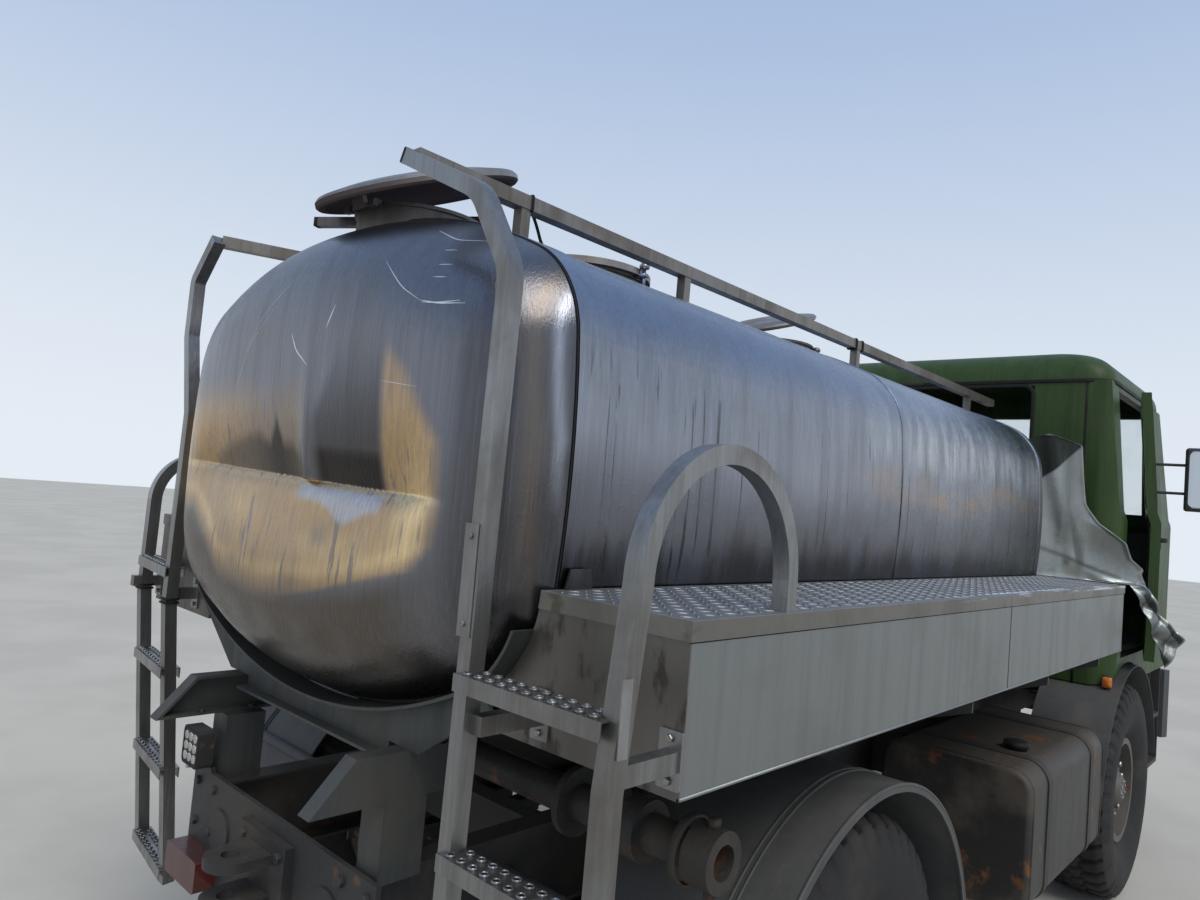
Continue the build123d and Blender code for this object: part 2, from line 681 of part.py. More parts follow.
# Ladders
def square_tube(*points, bend):
    """Sweeps a square tube along straight runs joined by arcs of one radius."""
    with BuildLine() as path:
        FilletPolyline(*points, radius=bend)
    with BuildSketch(Plane(origin=path.line @ 0, z_dir=path.line % 0, x_dir=(1, 0, 0))) as section:
        Rectangle(tube, tube)
    sweep(section.sketch, path=path.line)


bracket_z = walkway_bottom + 70
for hand, side in sides.items():
    ladder_x = right_ladder_x if side < 0 else left_ladder_x
    foot_lean = 0 if side < 0 else left_foot_lean
    outer_shift = 0 if side < 0 else left_outer_shift
    hoop_lean, spring_z, hoop_radius = hoops[hand]
    rung_run = outer_stile_y - inner_stile_y
    with BuildPart() as upright:
        if side < 0:
            square_tube((ladder_x, side * inner_stile_y, stile_foot_z),
                        (ladder_x, side * (inner_stile_y + 22), rail_z - 329),
                        (ladder_x, side * (inner_stile_y - 95), rail_z - 149),
                        (ladder_x, side * (rail_y + 10), rail_z - 12), bend=120)
        else:
            square_tube((ladder_x + foot_lean, inner_stile_y + 22, stile_foot_z),
                        (ladder_x, inner_stile_y + 22, lean_top_z),
                        (ladder_x, inner_stile_y + 14, rail_z - 599),
                        (ladder_x, inner_stile_y + 92, rail_z - 329),
                        (ladder_x, inner_stile_y + 92, rail_z - 130),
                        (ladder_x, left_stile_top_y - 16, rail_z), bend=40)
        with BuildLine(Plane.XZ.offset(-side * outer_stile_y)) as hoop:
            outer_x = ladder_x + outer_shift
            spring_x = outer_x + hoop_lean
            Polyline((outer_x + foot_lean, stile_foot_z), (outer_x, lean_top_z), (spring_x, spring_z))
            ThreePointArc((spring_x, spring_z), (spring_x + hoop_radius, spring_z + hoop_radius),
                          (spring_x + 2 * hoop_radius, spring_z))
            Line((spring_x + 2 * hoop_radius, spring_z), (spring_x + 2 * hoop_radius, walkway_top))
        with BuildSketch(Plane(origin=hoop.line @ 0, z_dir=hoop.line % 0, x_dir=(0, 1, 0))):
            Rectangle(tube, tube)
        sweep(path=hoop.line, transition=Transition.RIGHT)
        for row in range(rung_count):
            rung_z = top_rung_z - row * rung_pitch
            rung_x = ladder_x + foot_lean * max(0, lean_top_z - rung_z) / (lean_top_z - stile_foot_z)
            rung_end = Plane((rung_x, side * inner_stile_y, rung_z), x_dir=(rung_run, -side * outer_shift, 0),
                             z_dir=(outer_shift, side * rung_run, 0))
            with BuildSketch(rung_end):
                half, low = rung_depth / 2, side * rung_height
                with BuildLine():
                    Polyline((-half, low), (-half, 0), (half, 0), (half, low), (half - rung_wall, low),
                             (half - rung_wall, side * rung_wall), (rung_wall - half, side * rung_wall),
                             (rung_wall - half, low), close=True)
                make_face()
            extrude(amount=sqrt(rung_run**2 + outer_shift**2))
        bar_length = walkway_rear_x + trim_thickness - ladder_x
        for y in (inner_stile_y + 45, outer_stile_y):
            with Locations((ladder_x, side * y, bracket_z)):
                Box(bar_length, 30, tube, align=(Align.MIN, Align.CENTER, Align.CENTER))
        add(top_rails, mode=Mode.SUBTRACT)
    pieces[f"ladder_{hand}"] = upright


# Fenders over the rear wheels and mudguards over the front ones, each on two struts
def fender(axle_x, side, radius, inner_y, outer_y, skirt):
    """Half-round sheet over a wheel with a turned-down outer lip, on two struts from the rail's web."""
    lip_y = outer_y - fender_sheet
    for start, run, hole in ((inner_y, outer_y - inner_y, radius), (lip_y, fender_sheet, radius - skirt)):
        edge = Plane((axle_x, side * start, axle_z), x_dir=(side, 0, 0), z_dir=(0, side, 0))
        with BuildSketch(edge) as arch:
            Circle(radius + fender_sheet)
            Circle(hole, mode=Mode.SUBTRACT)
            with Locations((0, -100)):
                Rectangle(3 * radius, 2 * radius, align=(Align.CENTER, Align.MAX), mode=Mode.INTERSECT)
        extrude(arch.sketch, amount=run)
    reach = radius + fender_sheet + strut_radius - 4
    for way in (-1, 1):
        strut_x = axle_x + way * reach * cos(radians(strut_angle))
        strut_z = axle_z + reach * sin(radians(strut_angle))
        with BuildSketch(Plane((strut_x, side * rail_half_width, strut_z), z_dir=(0, side, 0))) as strut:
            Circle(strut_radius)
        extrude(strut.sketch, amount=outer_y - 60 - rail_half_width)


with BuildPart() as rear_fenders:
    for side in (-1, 1):
        fender(rear_axle_x, side, fender_inner_radius, fender_inner_y, fender_outer_y, 14)
pieces["rear_fenders"] = rear_fenders

with BuildPart() as front_mudguards:
    for side in (-1, 1):
        fender(front_axle_x, side, mudguard_inner_radius, mudguard_inner_y, mudguard_outer_y, 0)
pieces["front_mudguards"] = front_mudguards

# Fuel tank, rounded along its length, and the brackets with straps that hold it
with BuildPart() as fuel_tank:
    with BuildSketch(across(fuel_rear_x)):
        with Locations((-(fuel_inner_y + fuel_outer_y) / 2, (fuel_bottom + fuel_top) / 2)):
            RectangleRounded(fuel_outer_y - fuel_inner_y, fuel_top - fuel_bottom, fuel_corner)
    extrude(amount=fuel_length)
    fillet(fuel_tank.faces().filter_by(Axis.X).edges(), 22)
pieces["fuel_tank"] = fuel_tank

strap_places = [fuel_rear_x + 250, fuel_rear_x + fuel_length - 250]
with BuildPart() as fuel_tank_straps:
    for x in strap_places:
        with BuildSketch(across(x - strap_width / 2)):
            with Locations((-(fuel_inner_y + fuel_outer_y) / 2, (fuel_bottom + fuel_top) / 2)):
                RectangleRounded(fuel_outer_y - fuel_inner_y + 2 * strap_thickness,
                                 fuel_top - fuel_bottom + 2 * strap_thickness, fuel_corner + strap_thickness)
                RectangleRounded(fuel_outer_y - fuel_inner_y, fuel_top - fuel_bottom, fuel_corner,
                                 mode=Mode.SUBTRACT)
        extrude(amount=strap_width)
        with Locations((x, -rail_half_width, rail_top - 30)):
            Box(strap_width, fuel_inner_y - strap_thickness - rail_half_width + 3, 200,
                align=(Align.CENTER, Align.MAX, Align.MAX))
pieces["fuel_tank_straps"] = fuel_tank_straps

# Left side: battery box, two air tanks and the silencer, each on brackets from the rail
box_front_x = fuel_rear_x + fuel_length
box_length = 520
with BuildPart() as battery_box:
    with Locations((box_front_x - box_length / 2, rail_half_width, rail_top - 50)):
        Box(box_length, 640, 400, align=(Align.CENTER, Align.MIN, Align.MAX))
    fillet(battery_box.edges().filter_by(Axis.X).sort_by(Axis.Y)[-2:], 24)
    with Locations((box_front_x - box_length / 2, rail_half_width + 120, rail_top - 50)):
        Box(box_length + 12, 532, 60, align=(Align.CENTER, Align.MIN, Align.MAX))
pieces["battery_box"] = battery_box

air_tank_radius = 118
air_tank_length = 560
with BuildPart() as air_tanks:
    for y in (rail_half_width + 160, rail_half_width + 420):
        with Locations((fuel_rear_x + 310, y, rail_top - 180)):
            Cylinder(air_tank_radius, air_tank_length, rotation=(0, 90, 0))
    fillet(air_tanks.edges().filter_by(GeomType.CIRCLE), 40)
    for x in (fuel_rear_x + 130, fuel_rear_x + 490):
        with Locations((x, rail_half_width, rail_top - 72)):
            Box(50, 560, 24, align=(Align.CENTER, Align.MIN, Align.MIN))
pieces["air_tanks"] = air_tanks

silencer_radius = 165
silencer_x = fuel_rear_x - 450
with BuildPart() as silencer:
    with Locations((silencer_x, rail_half_width + 240, rail_top - 240)):
        Cylinder(silencer_radius, 620, rotation=(0, 90, 0))
    with Locations((silencer_x, rail_half_width, rail_top - 85)):
        Box(60, 330, 30, align=(Align.CENTER, Align.MIN, Align.MIN))
    with BuildSketch(across(silencer_x + 310)):
        with Locations((rail_half_width + 240, rail_top - 240)):
            Circle(48)
    extrude(amount=80)
    with Locations((silencer_x - 180, rail_half_width + 240, rail_top - 240)):
        Cylinder(44, 480, rotation=(90, 0, 0), align=(Align.CENTER, Align.CENTER, Align.MAX))
pieces["silencer"] = silencer

# Discharge pipe from the tank's belly to a bored coupling on the right
pipe_x = shell_rear_x + 271
pipe_z = rail_top + 196
pipe_radius = 44
pipe_bore = 38
pipe_root_y = 250
pipe_end_y = 1150
with BuildPart() as discharge_pipe:
    with BuildLine() as pipe_path:
        FilletPolyline((pipe_x, -pipe_root_y, tank_z - 300), (pipe_x, -pipe_root_y, pipe_z),
                       (pipe_x, -pipe_end_y, pipe_z), radius=80)
    with BuildSketch(Plane(origin=pipe_path.line @ 0, z_dir=pipe_path.line % 0)):
        Circle(pipe_radius)
    sweep(path=pipe_path.line)
    for inset, long, radius in ((0, 70, 66), (200, 110, 70), (420, 20, 84)):
        with BuildSketch(Plane((pipe_x, inset - pipe_end_y, pipe_z), x_dir=(1, 0, 0), z_dir=(0, 1, 0))):
            Circle(radius)
        extrude(amount=long)
    with BuildSketch(Plane((pipe_x, -pipe_end_y, pipe_z), x_dir=(1, 0, 0), z_dir=(0, 1, 0))):
        Circle(pipe_bore)
    extrude(amount=120, mode=Mode.SUBTRACT)
    with BuildSketch(across(pipe_x - 200)):
        tank_outline()
    extrude(amount=400, mode=Mode.SUBTRACT)
pieces["discharge_pipe"] = discharge_pipe

# Lamps at the rear
lamp_size = 112
lamp_y = 450
lamp_z = rail_top + 90
with BuildPart() as work_lamp:
    with Locations((frame_rear_x - 14, lamp_y, lamp_z)):
        Box(46, lamp_size, lamp_size, align=(Align.MAX, Align.CENTER, Align.CENTER))
    fillet(work_lamp.edges().filter_by(Axis.X), 14)
    with Locations((frame_rear_x - 14, lamp_y, rail_top + 20)):
        Box(8, 70, lamp_z - rail_top + 10, align=(Align.MIN, Align.CENTER, Align.MIN))
    with Locations((frame_rear_x, lamp_y, rail_top + 20)):
        Box(14, 110, 12, align=(Align.MAX, Align.CENTER, Align.MIN))
pieces["work_lamp"] = work_lamp

with BuildPart() as tail_lamps:
    for side in (-1, 1):
        with Locations((frame_rear_x - 14, side * (rail_half_width - 20), rail_top - 240)):
            Box(60, 210, 90, align=(Align.MAX, Align.CENTER, Align.CENTER))
    fillet(tail_lamps.edges().filter_by(Axis.X), 12)
pieces["tail_lamps"] = tail_lamps

# Torn sheet: a creased wall cut to its torn outline, from the tank's front head out past the cab's corner
sheet_thickness = 4
sheet_turn = radians(-52.3)
sheet_creases = [(-20, 0), (200, 25), (370, -25), (600, 10), (900, 0)]
sheet_outline = [(0, -12), (0, 723), (94, 757), (311, 715), (323, 569), (353, 403), (425, 301),
                 (558, 206), (593, 123), (656, 75), (647, 47), (732, -146), (854, -270), (766, -428),
                 (680, -217), (583, -6), (126, -18)]
sheet_root = (shell_front_x + 67, 127 - tank_half_width, walkway_top)
sheet_along = (cos(sheet_turn), sin(sheet_turn), 0)
with BuildPart() as torn_sheet:
    with BuildSketch(Plane(sheet_root, x_dir=sheet_along, z_dir=(0, 0, 1))):
        with BuildLine():
            near = [(along, out + sheet_thickness / 2) for along, out in sheet_creases]
            away = [(along, out - sheet_thickness / 2) for along, out in reversed(sheet_creases)]
            Polyline(*near, *away, close=True)
        make_face()
    extrude(amount=900, both=True)
    with BuildSketch(Plane(sheet_root, x_dir=sheet_along, z_dir=(sin(sheet_turn), -cos(sheet_turn), 0))):
        with BuildLine():
            Polyline(*sheet_outline, close=True)
        make_face()
    extrude(amount=80, both=True, mode=Mode.INTERSECT)
    add(tank_front_head, mode=Mode.SUBTRACT)
pieces["torn_sheet"] = torn_sheet

# Cab: outer form where three rounded views meet, less the same form inset by the wall
waist_out = 20
roof_half_width = cab_half_width - 78
form_bottom = cab_bottom - 180
side_points = [(cab_rear_x, form_bottom), (cab_rear_x, cab_roof_top - 50), (cab_rear_x + 640, cab_roof_top),
               (cab_front_x - 430, cab_roof_top - 12), (cab_front_x - 260, cab_roof_top - 85),
               (cab_front_x - 75, cab_waist - 30), (cab_front_x, cab_waist - 190), (cab_front_x, form_bottom)]
front_points = [(cab_half_width - 12, form_bottom), (cab_half_width, cab_bottom + 320),
                (cab_half_width, cab_waist - 40), (cab_half_width - waist_out, cab_waist + 20),
                (roof_half_width, cab_roof_seam), (roof_half_width - 122, cab_roof_top - 14),
                (0, cab_roof_top + 10)]


def cab_form(inset):
    """Solid where the side, front and plan views of the cab meet, each inset by the same amount."""
    with BuildSketch(Plane.XZ) as side_view:
        with BuildLine() as profile:
            Polyline(*side_points, close=True)
        make_face(profile.edges())
        corners = side_view.vertices().sort_by(Axis.Y)
        fillet(corners[-4:], 90)
        if inset:
            offset(amount=-inset, kind=Kind.INTERSECTION, mode=Mode.REPLACE)
    extrude(side_view.sketch, amount=2 * cab_half_width, both=True)
    with BuildSketch(Plane.YZ) as front_view:
        mirrored = [(-y, z) for y, z in reversed(front_points[:-1])]
        with BuildLine() as profile:
            Polyline(*front_points, *mirrored, close=True)
        make_face(profile.edges())
        tops = front_view.vertices().filter_by(lambda v: v.Y > cab_roof_seam - 20 and abs(v.X) > 500)
        fillet(tops, 60)
        if inset:
            offset(amount=-inset, kind=Kind.INTERSECTION, mode=Mode.REPLACE)
    extrude(front_view.sketch, amount=2 * cab_front_x, both=True, mode=Mode.INTERSECT)
    with BuildSketch(Plane.XY) as plan:
        with Locations(((cab_rear_x + cab_front_x) / 2, 0)):
            RectangleRounded(cab_front_x - cab_rear_x - 2 * inset, 2 * (cab_half_width - inset),
                             cab_corner - inset)
    extrude(plan.sketch, amount=2 * cab_roof_top, mode=Mode.INTERSECT)


def region(x0, x1, y0, y1, z0, z1, mode=Mode.INTERSECT):
    """Keeps, adds or cuts the box between two corners."""
    with Locations(((x0 + x1) / 2, (y0 + y1) / 2, (z0 + z1) / 2)):
        Box(x1 - x0, y1 - y0, z1 - z0, mode=mode)


far = 4000
arch_radius = mudguard_inner_radius + fender_sheet + arch_gap
with BuildPart() as cab_inside:
    cab_form(cab_wall)
with BuildPart() as cab_shell:
    cab_form(0)
    add(cab_inside, mode=Mode.SUBTRACT)
    region(cab_rear_x - 10, cab_front_x + 10, -far, far, cab_bottom, far)
    with Locations((front_axle_x, 0, axle_z)):
        Cylinder(arch_radius, 4 * cab_half_width, rotation=(90, 0, 0), mode=Mode.SUBTRACT)

with BuildPart() as cab_roof:
    add(cab_shell)
    region(-far, far, -far, far, cab_roof_seam, far)
pieces["cab_roof"] = cab_roof

with BuildPart() as cab_rear_wall:
    add(cab_shell)
    region(cab_rear_x, cab_rear_x + cab_wall, -seam_y, seam_y, cab_bottom, cab_roof_seam)
    region(0, far, -rear_window_half_width, rear_window_half_width, rear_window_bottom, rear_window_top,
           Mode.SUBTRACT)
pieces["cab_rear_wall"] = cab_rear_wall

with BuildPart() as cab_sides:
    add(cab_shell)
    region(cab_rear_x, door_front_x + door_gap, -far, far, cab_bottom, cab_roof_seam)
    region(0, cab_rear_x + cab_wall, -seam_y, seam_y, 0, far, Mode.SUBTRACT)
    region(door_rear_x - door_gap, far, -far, far, door_bottom - door_gap, door_top + door_gap, Mode.SUBTRACT)
pieces["cab_sides"] = cab_sides

windscreen_half_width = cab_half_width - 170
windscreen_bottom = cab_waist + 40
windscreen_top = cab_roof_seam - 40
glass_rear_x = cab_front_x - 350
grille_slots = 5
grille_half_width = 470
with BuildPart() as cab_front:
    add(cab_shell)
    region(door_front_x + door_gap, far, -far, far, cab_bottom, cab_roof_seam)
    region(glass_rear_x, far, -windscreen_half_width, windscreen_half_width, windscreen_bottom,
           windscreen_top, Mode.SUBTRACT)
    for row in range(grille_slots):
        slot_z = rail_top + 290 + 90 * row
        region(cab_front_x - 150, far, -grille_half_width, grille_half_width, slot_z, slot_z + 44,
               Mode.SUBTRACT)
pieces["cab_front"] = cab_front

with BuildPart() as inner_glass:
    cab_form(glass_inset + glass_thickness)
with BuildPart() as glass_skin:
    cab_form(glass_inset)
    add(inner_glass, mode=Mode.SUBTRACT)
with BuildPart() as windscreen:
    add(glass_skin)
    region(glass_rear_x, far, -windscreen_half_width, windscreen_half_width, windscreen_bottom,
           windscreen_top)
pieces["windscreen"] = windscreen

tunnel_half_width = engine_half_width + 40
tunnel_top = engine_top + 60
with BuildPart() as cab_floor:
    add(cab_inside)
    region(0, far, -far, far, floor_top - floor_thickness, floor_top)
    for side in (-1, 1):
        sill = sorted((side * (cab_half_width - cab_wall - 14), side * far))
        region(door_rear_x - door_gap, door_front_x + door_gap, *sill, 0, far, Mode.SUBTRACT)
    region(cab_rear_x + cab_wall, engine_front_x + 260, -tunnel_half_width - 24, tunnel_half_width + 24,
           floor_top - floor_thickness, tunnel_top + 24, Mode.ADD)
    region(0, engine_front_x + 236, -tunnel_half_width, tunnel_half_width, 0, tunnel_top, Mode.SUBTRACT)
    for x in (cab_rear_x + 180, cab_front_x - 220):
        for side in (-1, 1):
            y = side * (rail_half_width - 16)
            region(x - 50, x + 50, y - 30, y + 30, rail_top, floor_top - floor_thickness, Mode.ADD)
    fillet(cab_floor.edges().filter_by(Axis.X).sort_by(Axis.Z)[-2:], 40)
pieces["cab_floor"] = cab_floor

# Doors: the shell's own skin within the door's outline, swung on an outside hinge line
hinge_y = cab_half_width + hinge_outset
window_bottom = cab_waist + 50
window_top = door_top - 52
window_rear_x = door_rear_x + 90
window_front_x = door_front_x - 110
for hand, side in sides.items():
    swing = door_ajar if side < 0 else 0
    hinge_line = Axis((door_front_x, side * hinge_y, 0), (0, 0, 1))
    low, high = sorted((side * (cab_half_width - 230), side * far))
    with BuildPart() as shut_door:
        add(cab_shell)
        region(door_rear_x, door_front_x, low, high, door_bottom, door_top)
        region(window_rear_x, window_front_x, low, high, window_bottom, window_top, Mode.SUBTRACT)
        for z in (door_bottom + 200, cab_waist - 150):
            with Locations((door_front_x, side * hinge_y, z)):
                Cylinder(10, 70)
            strap = sorted((side * (hinge_y - 30), side * hinge_y))
            region(door_front_x - 60, door_front_x, *strap, z - 30, z + 30, Mode.ADD)
    with BuildPart() as door:
        add(shut_door.part.rotate(hinge_line, swing))
    pieces[f"door_{hand}"] = door

    with BuildPart() as pane:
        add(glass_skin)
        region(window_rear_x, window_front_x, low, high, window_bottom, window_top)
    with BuildPart() as door_glass:
        add(pane.part.rotate(hinge_line, swing))
    pieces[f"door_glass_{hand}"] = door_glass

    with BuildPart() as plain_mirror:
        head_x, head_y = door_front_x - 30, side * (hinge_y + 210)
        with Locations((head_x, head_y, cab_waist + 270)):
            Box(70, 190, 400)
        fillet(plain_mirror.edges(), 18)
        for z in (cab_waist + 180, cab_waist + 360):
            with Locations((head_x, side * (hinge_y - 60), z)):
                Cylinder(9, 190, rotation=(90, 0, 0),
                         align=(Align.CENTER, Align.CENTER, Align.MIN if side < 0 else Align.MAX))
        add(shut_door, mode=Mode.SUBTRACT)
    with BuildPart() as mirror_arm:
        add(plain_mirror.part.rotate(hinge_line, swing))
    pieces[f"mirror_{hand}"] = mirror_arm

# Seats and dashboard
with BuildPart() as seats:
    for side in (-1, 1):
        y = side * (cab_half_width - 410)
        x, z = cab_rear_x + 240, floor_top + 140
        region(x + 60, x + 520, y - 230, y + 230, z, z + 120, Mode.ADD)
        region(x, x + 100, y - 220, y + 220, z + 60, z + 740, Mode.ADD)
        region(x + 120, x + 460, y - 150, y + 150, floor_top, z + 10, Mode.ADD)
    fillet(seats.edges().filter_by(Axis.Y).sort_by(Axis.Z)[-4:], 30)
pieces["seats"] = seats

column_rise = radians(55)
with BuildPart() as dashboard:
    add(cab_inside)
    region(cab_front_x - 350, far, -far, far, floor_top + 320, floor_top + 680)
    column_foot = (cab_front_x - 350, cab_half_width - 490, floor_top + 520)
    column = Plane(column_foot, z_dir=(-cos(column_rise), 0, sin(column_rise)))
    with BuildSketch(column):
        Circle(26)
    extrude(amount=260)
    with BuildSketch(column.offset(248)):
        Circle(60)
        Rectangle(400, 30)
        Rectangle(30, 400)
    extrude(amount=14)
    with BuildSketch(Plane(column.origin + column.z_dir * 255, x_dir=column.z_dir, z_dir=column.y_dir)):
        with Locations((0, 215)):
            Circle(15)
    revolve(axis=Axis(column.origin, column.z_dir))
pieces["dashboard"] = dashboard

# Bumper, headlamps and entry steps
bumper_front = cab_front_x + 85
bumper_top = rail_top + 110
bumper_bottom = rail_top - 340
lamp_bottom = bumper_bottom + 150
with BuildPart() as front_bumper:
    with BuildSketch(Plane.XY.offset(bumper_bottom)):
        with BuildLine():
            wide = cab_half_width
            Polyline((frame_front_x, -wide), (frame_front_x + 60, -wide - 20), (bumper_front, 230 - wide),
                     (bumper_front, wide - 230), (frame_front_x + 60, wide + 20), (frame_front_x, wide),
                     close=True)
        make_face()
    extrude(amount=bumper_top - bumper_bottom)
    for side in (-1, 1):
        region(bumper_front - 60, far, *sorted((side * 620, side * 880)), lamp_bottom, lamp_bottom + 200,
               Mode.SUBTRACT)
pieces["front_bumper"] = front_bumper

with BuildPart() as headlamps:
    for side in (-1, 1):
        region(bumper_front - 60, bumper_front - 6, *sorted((side * 622, side * 878)),
               lamp_bottom + 2, lamp_bottom + 198, Mode.ADD)
    fillet(headlamps.edges().filter_by(Axis.X), 20)
pieces["headlamps"] = headlamps

step_rear_x = front_axle_x + 750
step_front_x = step_rear_x + 370
step_bottom = cab_bottom - 620
with BuildPart() as entry_steps:
    for side in (-1, 1):
        outer, inner = side * (cab_half_width - 10), side * (cab_half_width - 330)
        reach = sorted((outer, inner))
        for z in (step_bottom, step_bottom + 300):
            region(step_rear_x, step_front_x, *reach, z, z + 26, Mode.ADD)
        for x in (step_rear_x, step_front_x - 10):
            region(x, x + 10, *reach, step_bottom, cab_bottom - 5, Mode.ADD)
        region(step_rear_x, step_front_x, *sorted((side * rail_half_width, inner + side * 5)),
               rail_top - 140, rail_top - 80, Mode.ADD)
        region(step_rear_x, step_front_x, *sorted((inner, inner + side * 6)), step_bottom, cab_bottom - 5,
               Mode.ADD)
pieces["entry_steps"] = entry_steps

for label, piece in pieces.items():
    piece.part.label = label
    export_step(piece.part, f"parts/{label}.step")
print(len(pieces), "pieces")
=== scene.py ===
import math

import bpy
import numpy as np
from mathutils import Matrix, Vector


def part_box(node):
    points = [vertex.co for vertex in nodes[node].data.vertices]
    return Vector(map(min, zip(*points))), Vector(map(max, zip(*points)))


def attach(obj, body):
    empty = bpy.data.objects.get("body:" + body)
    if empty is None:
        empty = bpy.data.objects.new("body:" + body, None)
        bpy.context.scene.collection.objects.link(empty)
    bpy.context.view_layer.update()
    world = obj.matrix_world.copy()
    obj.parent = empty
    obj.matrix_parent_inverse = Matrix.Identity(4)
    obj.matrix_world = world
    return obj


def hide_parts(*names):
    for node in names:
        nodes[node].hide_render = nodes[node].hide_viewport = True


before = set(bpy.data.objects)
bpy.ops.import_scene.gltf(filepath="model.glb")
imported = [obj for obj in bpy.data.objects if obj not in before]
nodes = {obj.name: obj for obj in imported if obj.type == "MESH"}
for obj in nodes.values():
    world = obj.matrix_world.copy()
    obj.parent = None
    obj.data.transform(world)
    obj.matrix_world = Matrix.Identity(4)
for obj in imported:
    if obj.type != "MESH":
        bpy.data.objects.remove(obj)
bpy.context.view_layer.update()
scene = bpy.context.scene
sides = {"right": -1, "left": 1}

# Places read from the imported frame, in metres
shell_low, shell_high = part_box("tank_shell")
tank_middle = (shell_low.z + shell_high.z) / 2
half_width = shell_high.y
half_height = (shell_high.z - shell_low.z) / 2
shell_rear, shell_front = shell_low.x, shell_high.x
head_depth = shell_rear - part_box("tank_rear_head")[0].x
deck_low, deck_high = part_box("walkway_decks")
locker_low, locker_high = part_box("walkway_lockers")
wheel_centres = {}
for place in ("front", "rear"):
    for hand in sides:
        low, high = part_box(f"tyre_{place}_{hand}")
        wheel_centres[place, hand] = (low + high) / 2
tyre_radius = (high.z - low.z) / 2

# Sizes of the tank's section and of what stands on it
crown_radius, flank_radius, corner_radius = 1.588, 2.777, 0.274
head_crown, head_power = 0.040, 7.8
seam_gap, band_width, mid_seam_x = 0.006, 0.097, -1.0
tube, trim_height = 0.038, 0.039


def make_camera():
    """Hand-held camera behind the right corner: level heading, then pitched up a little and rolled."""
    yaw, pitch, roll = math.radians(42.92), math.radians(3.29), math.radians(5.02)
    forward = Vector((math.cos(yaw) * math.cos(pitch), math.sin(yaw) * math.cos(pitch), math.sin(pitch)))
    level = Vector((math.sin(yaw), -math.cos(yaw), 0.0))
    above = level.cross(forward)
    right = math.cos(roll) * level + math.sin(roll) * above
    up = -math.sin(roll) * level + math.cos(roll) * above
    data = bpy.data.cameras.new("camera")
    data.sensor_width = 36.0
    data.lens = 25.005
    camera = bpy.data.objects.new("camera", data)
    turn = Matrix((right, up, -forward)).transposed()
    camera.matrix_world = Matrix.Translation((-4.03115, -2.13207, 1.98059)) @ turn.to_4x4()
    scene.collection.objects.link(camera)
    scene.camera = camera


make_camera()
scene.view_settings.view_transform = "Standard"


# Shader helpers
def node(tree, kind, inputs=(), **settings):
    """Adds a shader node, sets its options, and sets or links its inputs."""
    made = tree.nodes.new("ShaderNode" + kind)
    for key, value in settings.items():
        setattr(made, key, value)
    for key, value in dict(inputs).items():
        if isinstance(value, bpy.types.NodeSocket):
            tree.links.new(value, made.inputs[key])
        else:
            made.inputs[key].default_value = value
    return made


def rgba(colour):
    """The colour with full opacity, as sockets take it."""
    return (*colour, 1.0)


def mixed(tree, factor, a, b, blend="MIX"):
    """Output of a colour mix; a and b are colours or sockets."""
    a, b = [c if isinstance(c, bpy.types.NodeSocket) else rgba(c) for c in (a, b)]
    return node(tree, "Mix", {0: factor, 6: a, 7: b}, data_type="RGBA", blend_type=blend).outputs[2]


def maths(tree, operation, a, b=0.0, clamp=False):
    """Output of a calculation with two values or sockets."""
    return node(tree, "Math", {0: a, 1: b}, operation=operation, use_clamp=clamp).outputs[0]


def product(tree, first, *others):
    """Output that multiplies values or sockets one after another."""
    for other in others:
        first = maths(tree, "MULTIPLY", first, other)
    return first


def upward(tree):
    """How far the surface faces up, from -1 to 1."""
    return node(tree, "SeparateXYZ", {0: node(tree, "NewGeometry").outputs["Normal"]}).outputs[2]


def ramp(tree, value, low, high, to_low=0.0, to_high=1.0):
    """A value mapped from one range to another, with smooth ends, and clamped."""
    made = node(tree, "MapRange", {"Value": value, 1: low, 2: high, 3: to_low, 4: to_high})
    made.interpolation_type = "SMOOTHSTEP"
    return made.outputs[0]


def new_group(name, inputs, outputs):
    """Empty node group with named inputs (label, kind, value) and outputs (label, kind)."""
    tree = bpy.data.node_groups.new(name, "ShaderNodeTree")
    for label, kind, value in inputs:
        socket = tree.interface.new_socket(label, in_out="INPUT", socket_type="NodeSocket" + kind)
        socket.default_value = value
    for label, kind in outputs:
        tree.interface.new_socket(label, in_out="OUTPUT", socket_type="NodeSocket" + kind)
    return tree, tree.nodes.new("NodeGroupInput").outputs, tree.nodes.new("NodeGroupOutput").inputs


def make_stretched_noise():
    """Group: noise on object coordinates scaled by a vector, mapped to a mask between two levels."""
    tree, given, out = new_group("stretched_noise", [("Stretch", "Vector", (1, 1, 1)), ("Low", "Float", 0.4),
                                                     ("High", "Float", 0.6)], [("Mask", "Float")])
    place = node(tree, "TexCoord").outputs["Object"]
    scaled = node(tree, "VectorMath", {0: place, 1: given["Stretch"]}, operation="MULTIPLY").outputs[0]
    noise = node(tree, "TexNoise", {"Vector": scaled, "Scale": 1.0, "Detail": 5.0, "Roughness": 0.6})
    tree.links.new(ramp(tree, noise.outputs[0], given["Low"], given["High"]), out["Mask"])
    return tree


stretched_noise = make_stretched_noise()


def noise_mask(tree, stretch, low, high):
    """Mask from the stretched noise group; stretch is waves per metre along each axis."""
    made = node(tree, "Group", node_tree=stretched_noise)
    made.inputs["Stretch"].default_value = stretch
    made.inputs["Low"].default_value = low
    made.inputs["High"].default_value = high
    return made.outputs["Mask"]


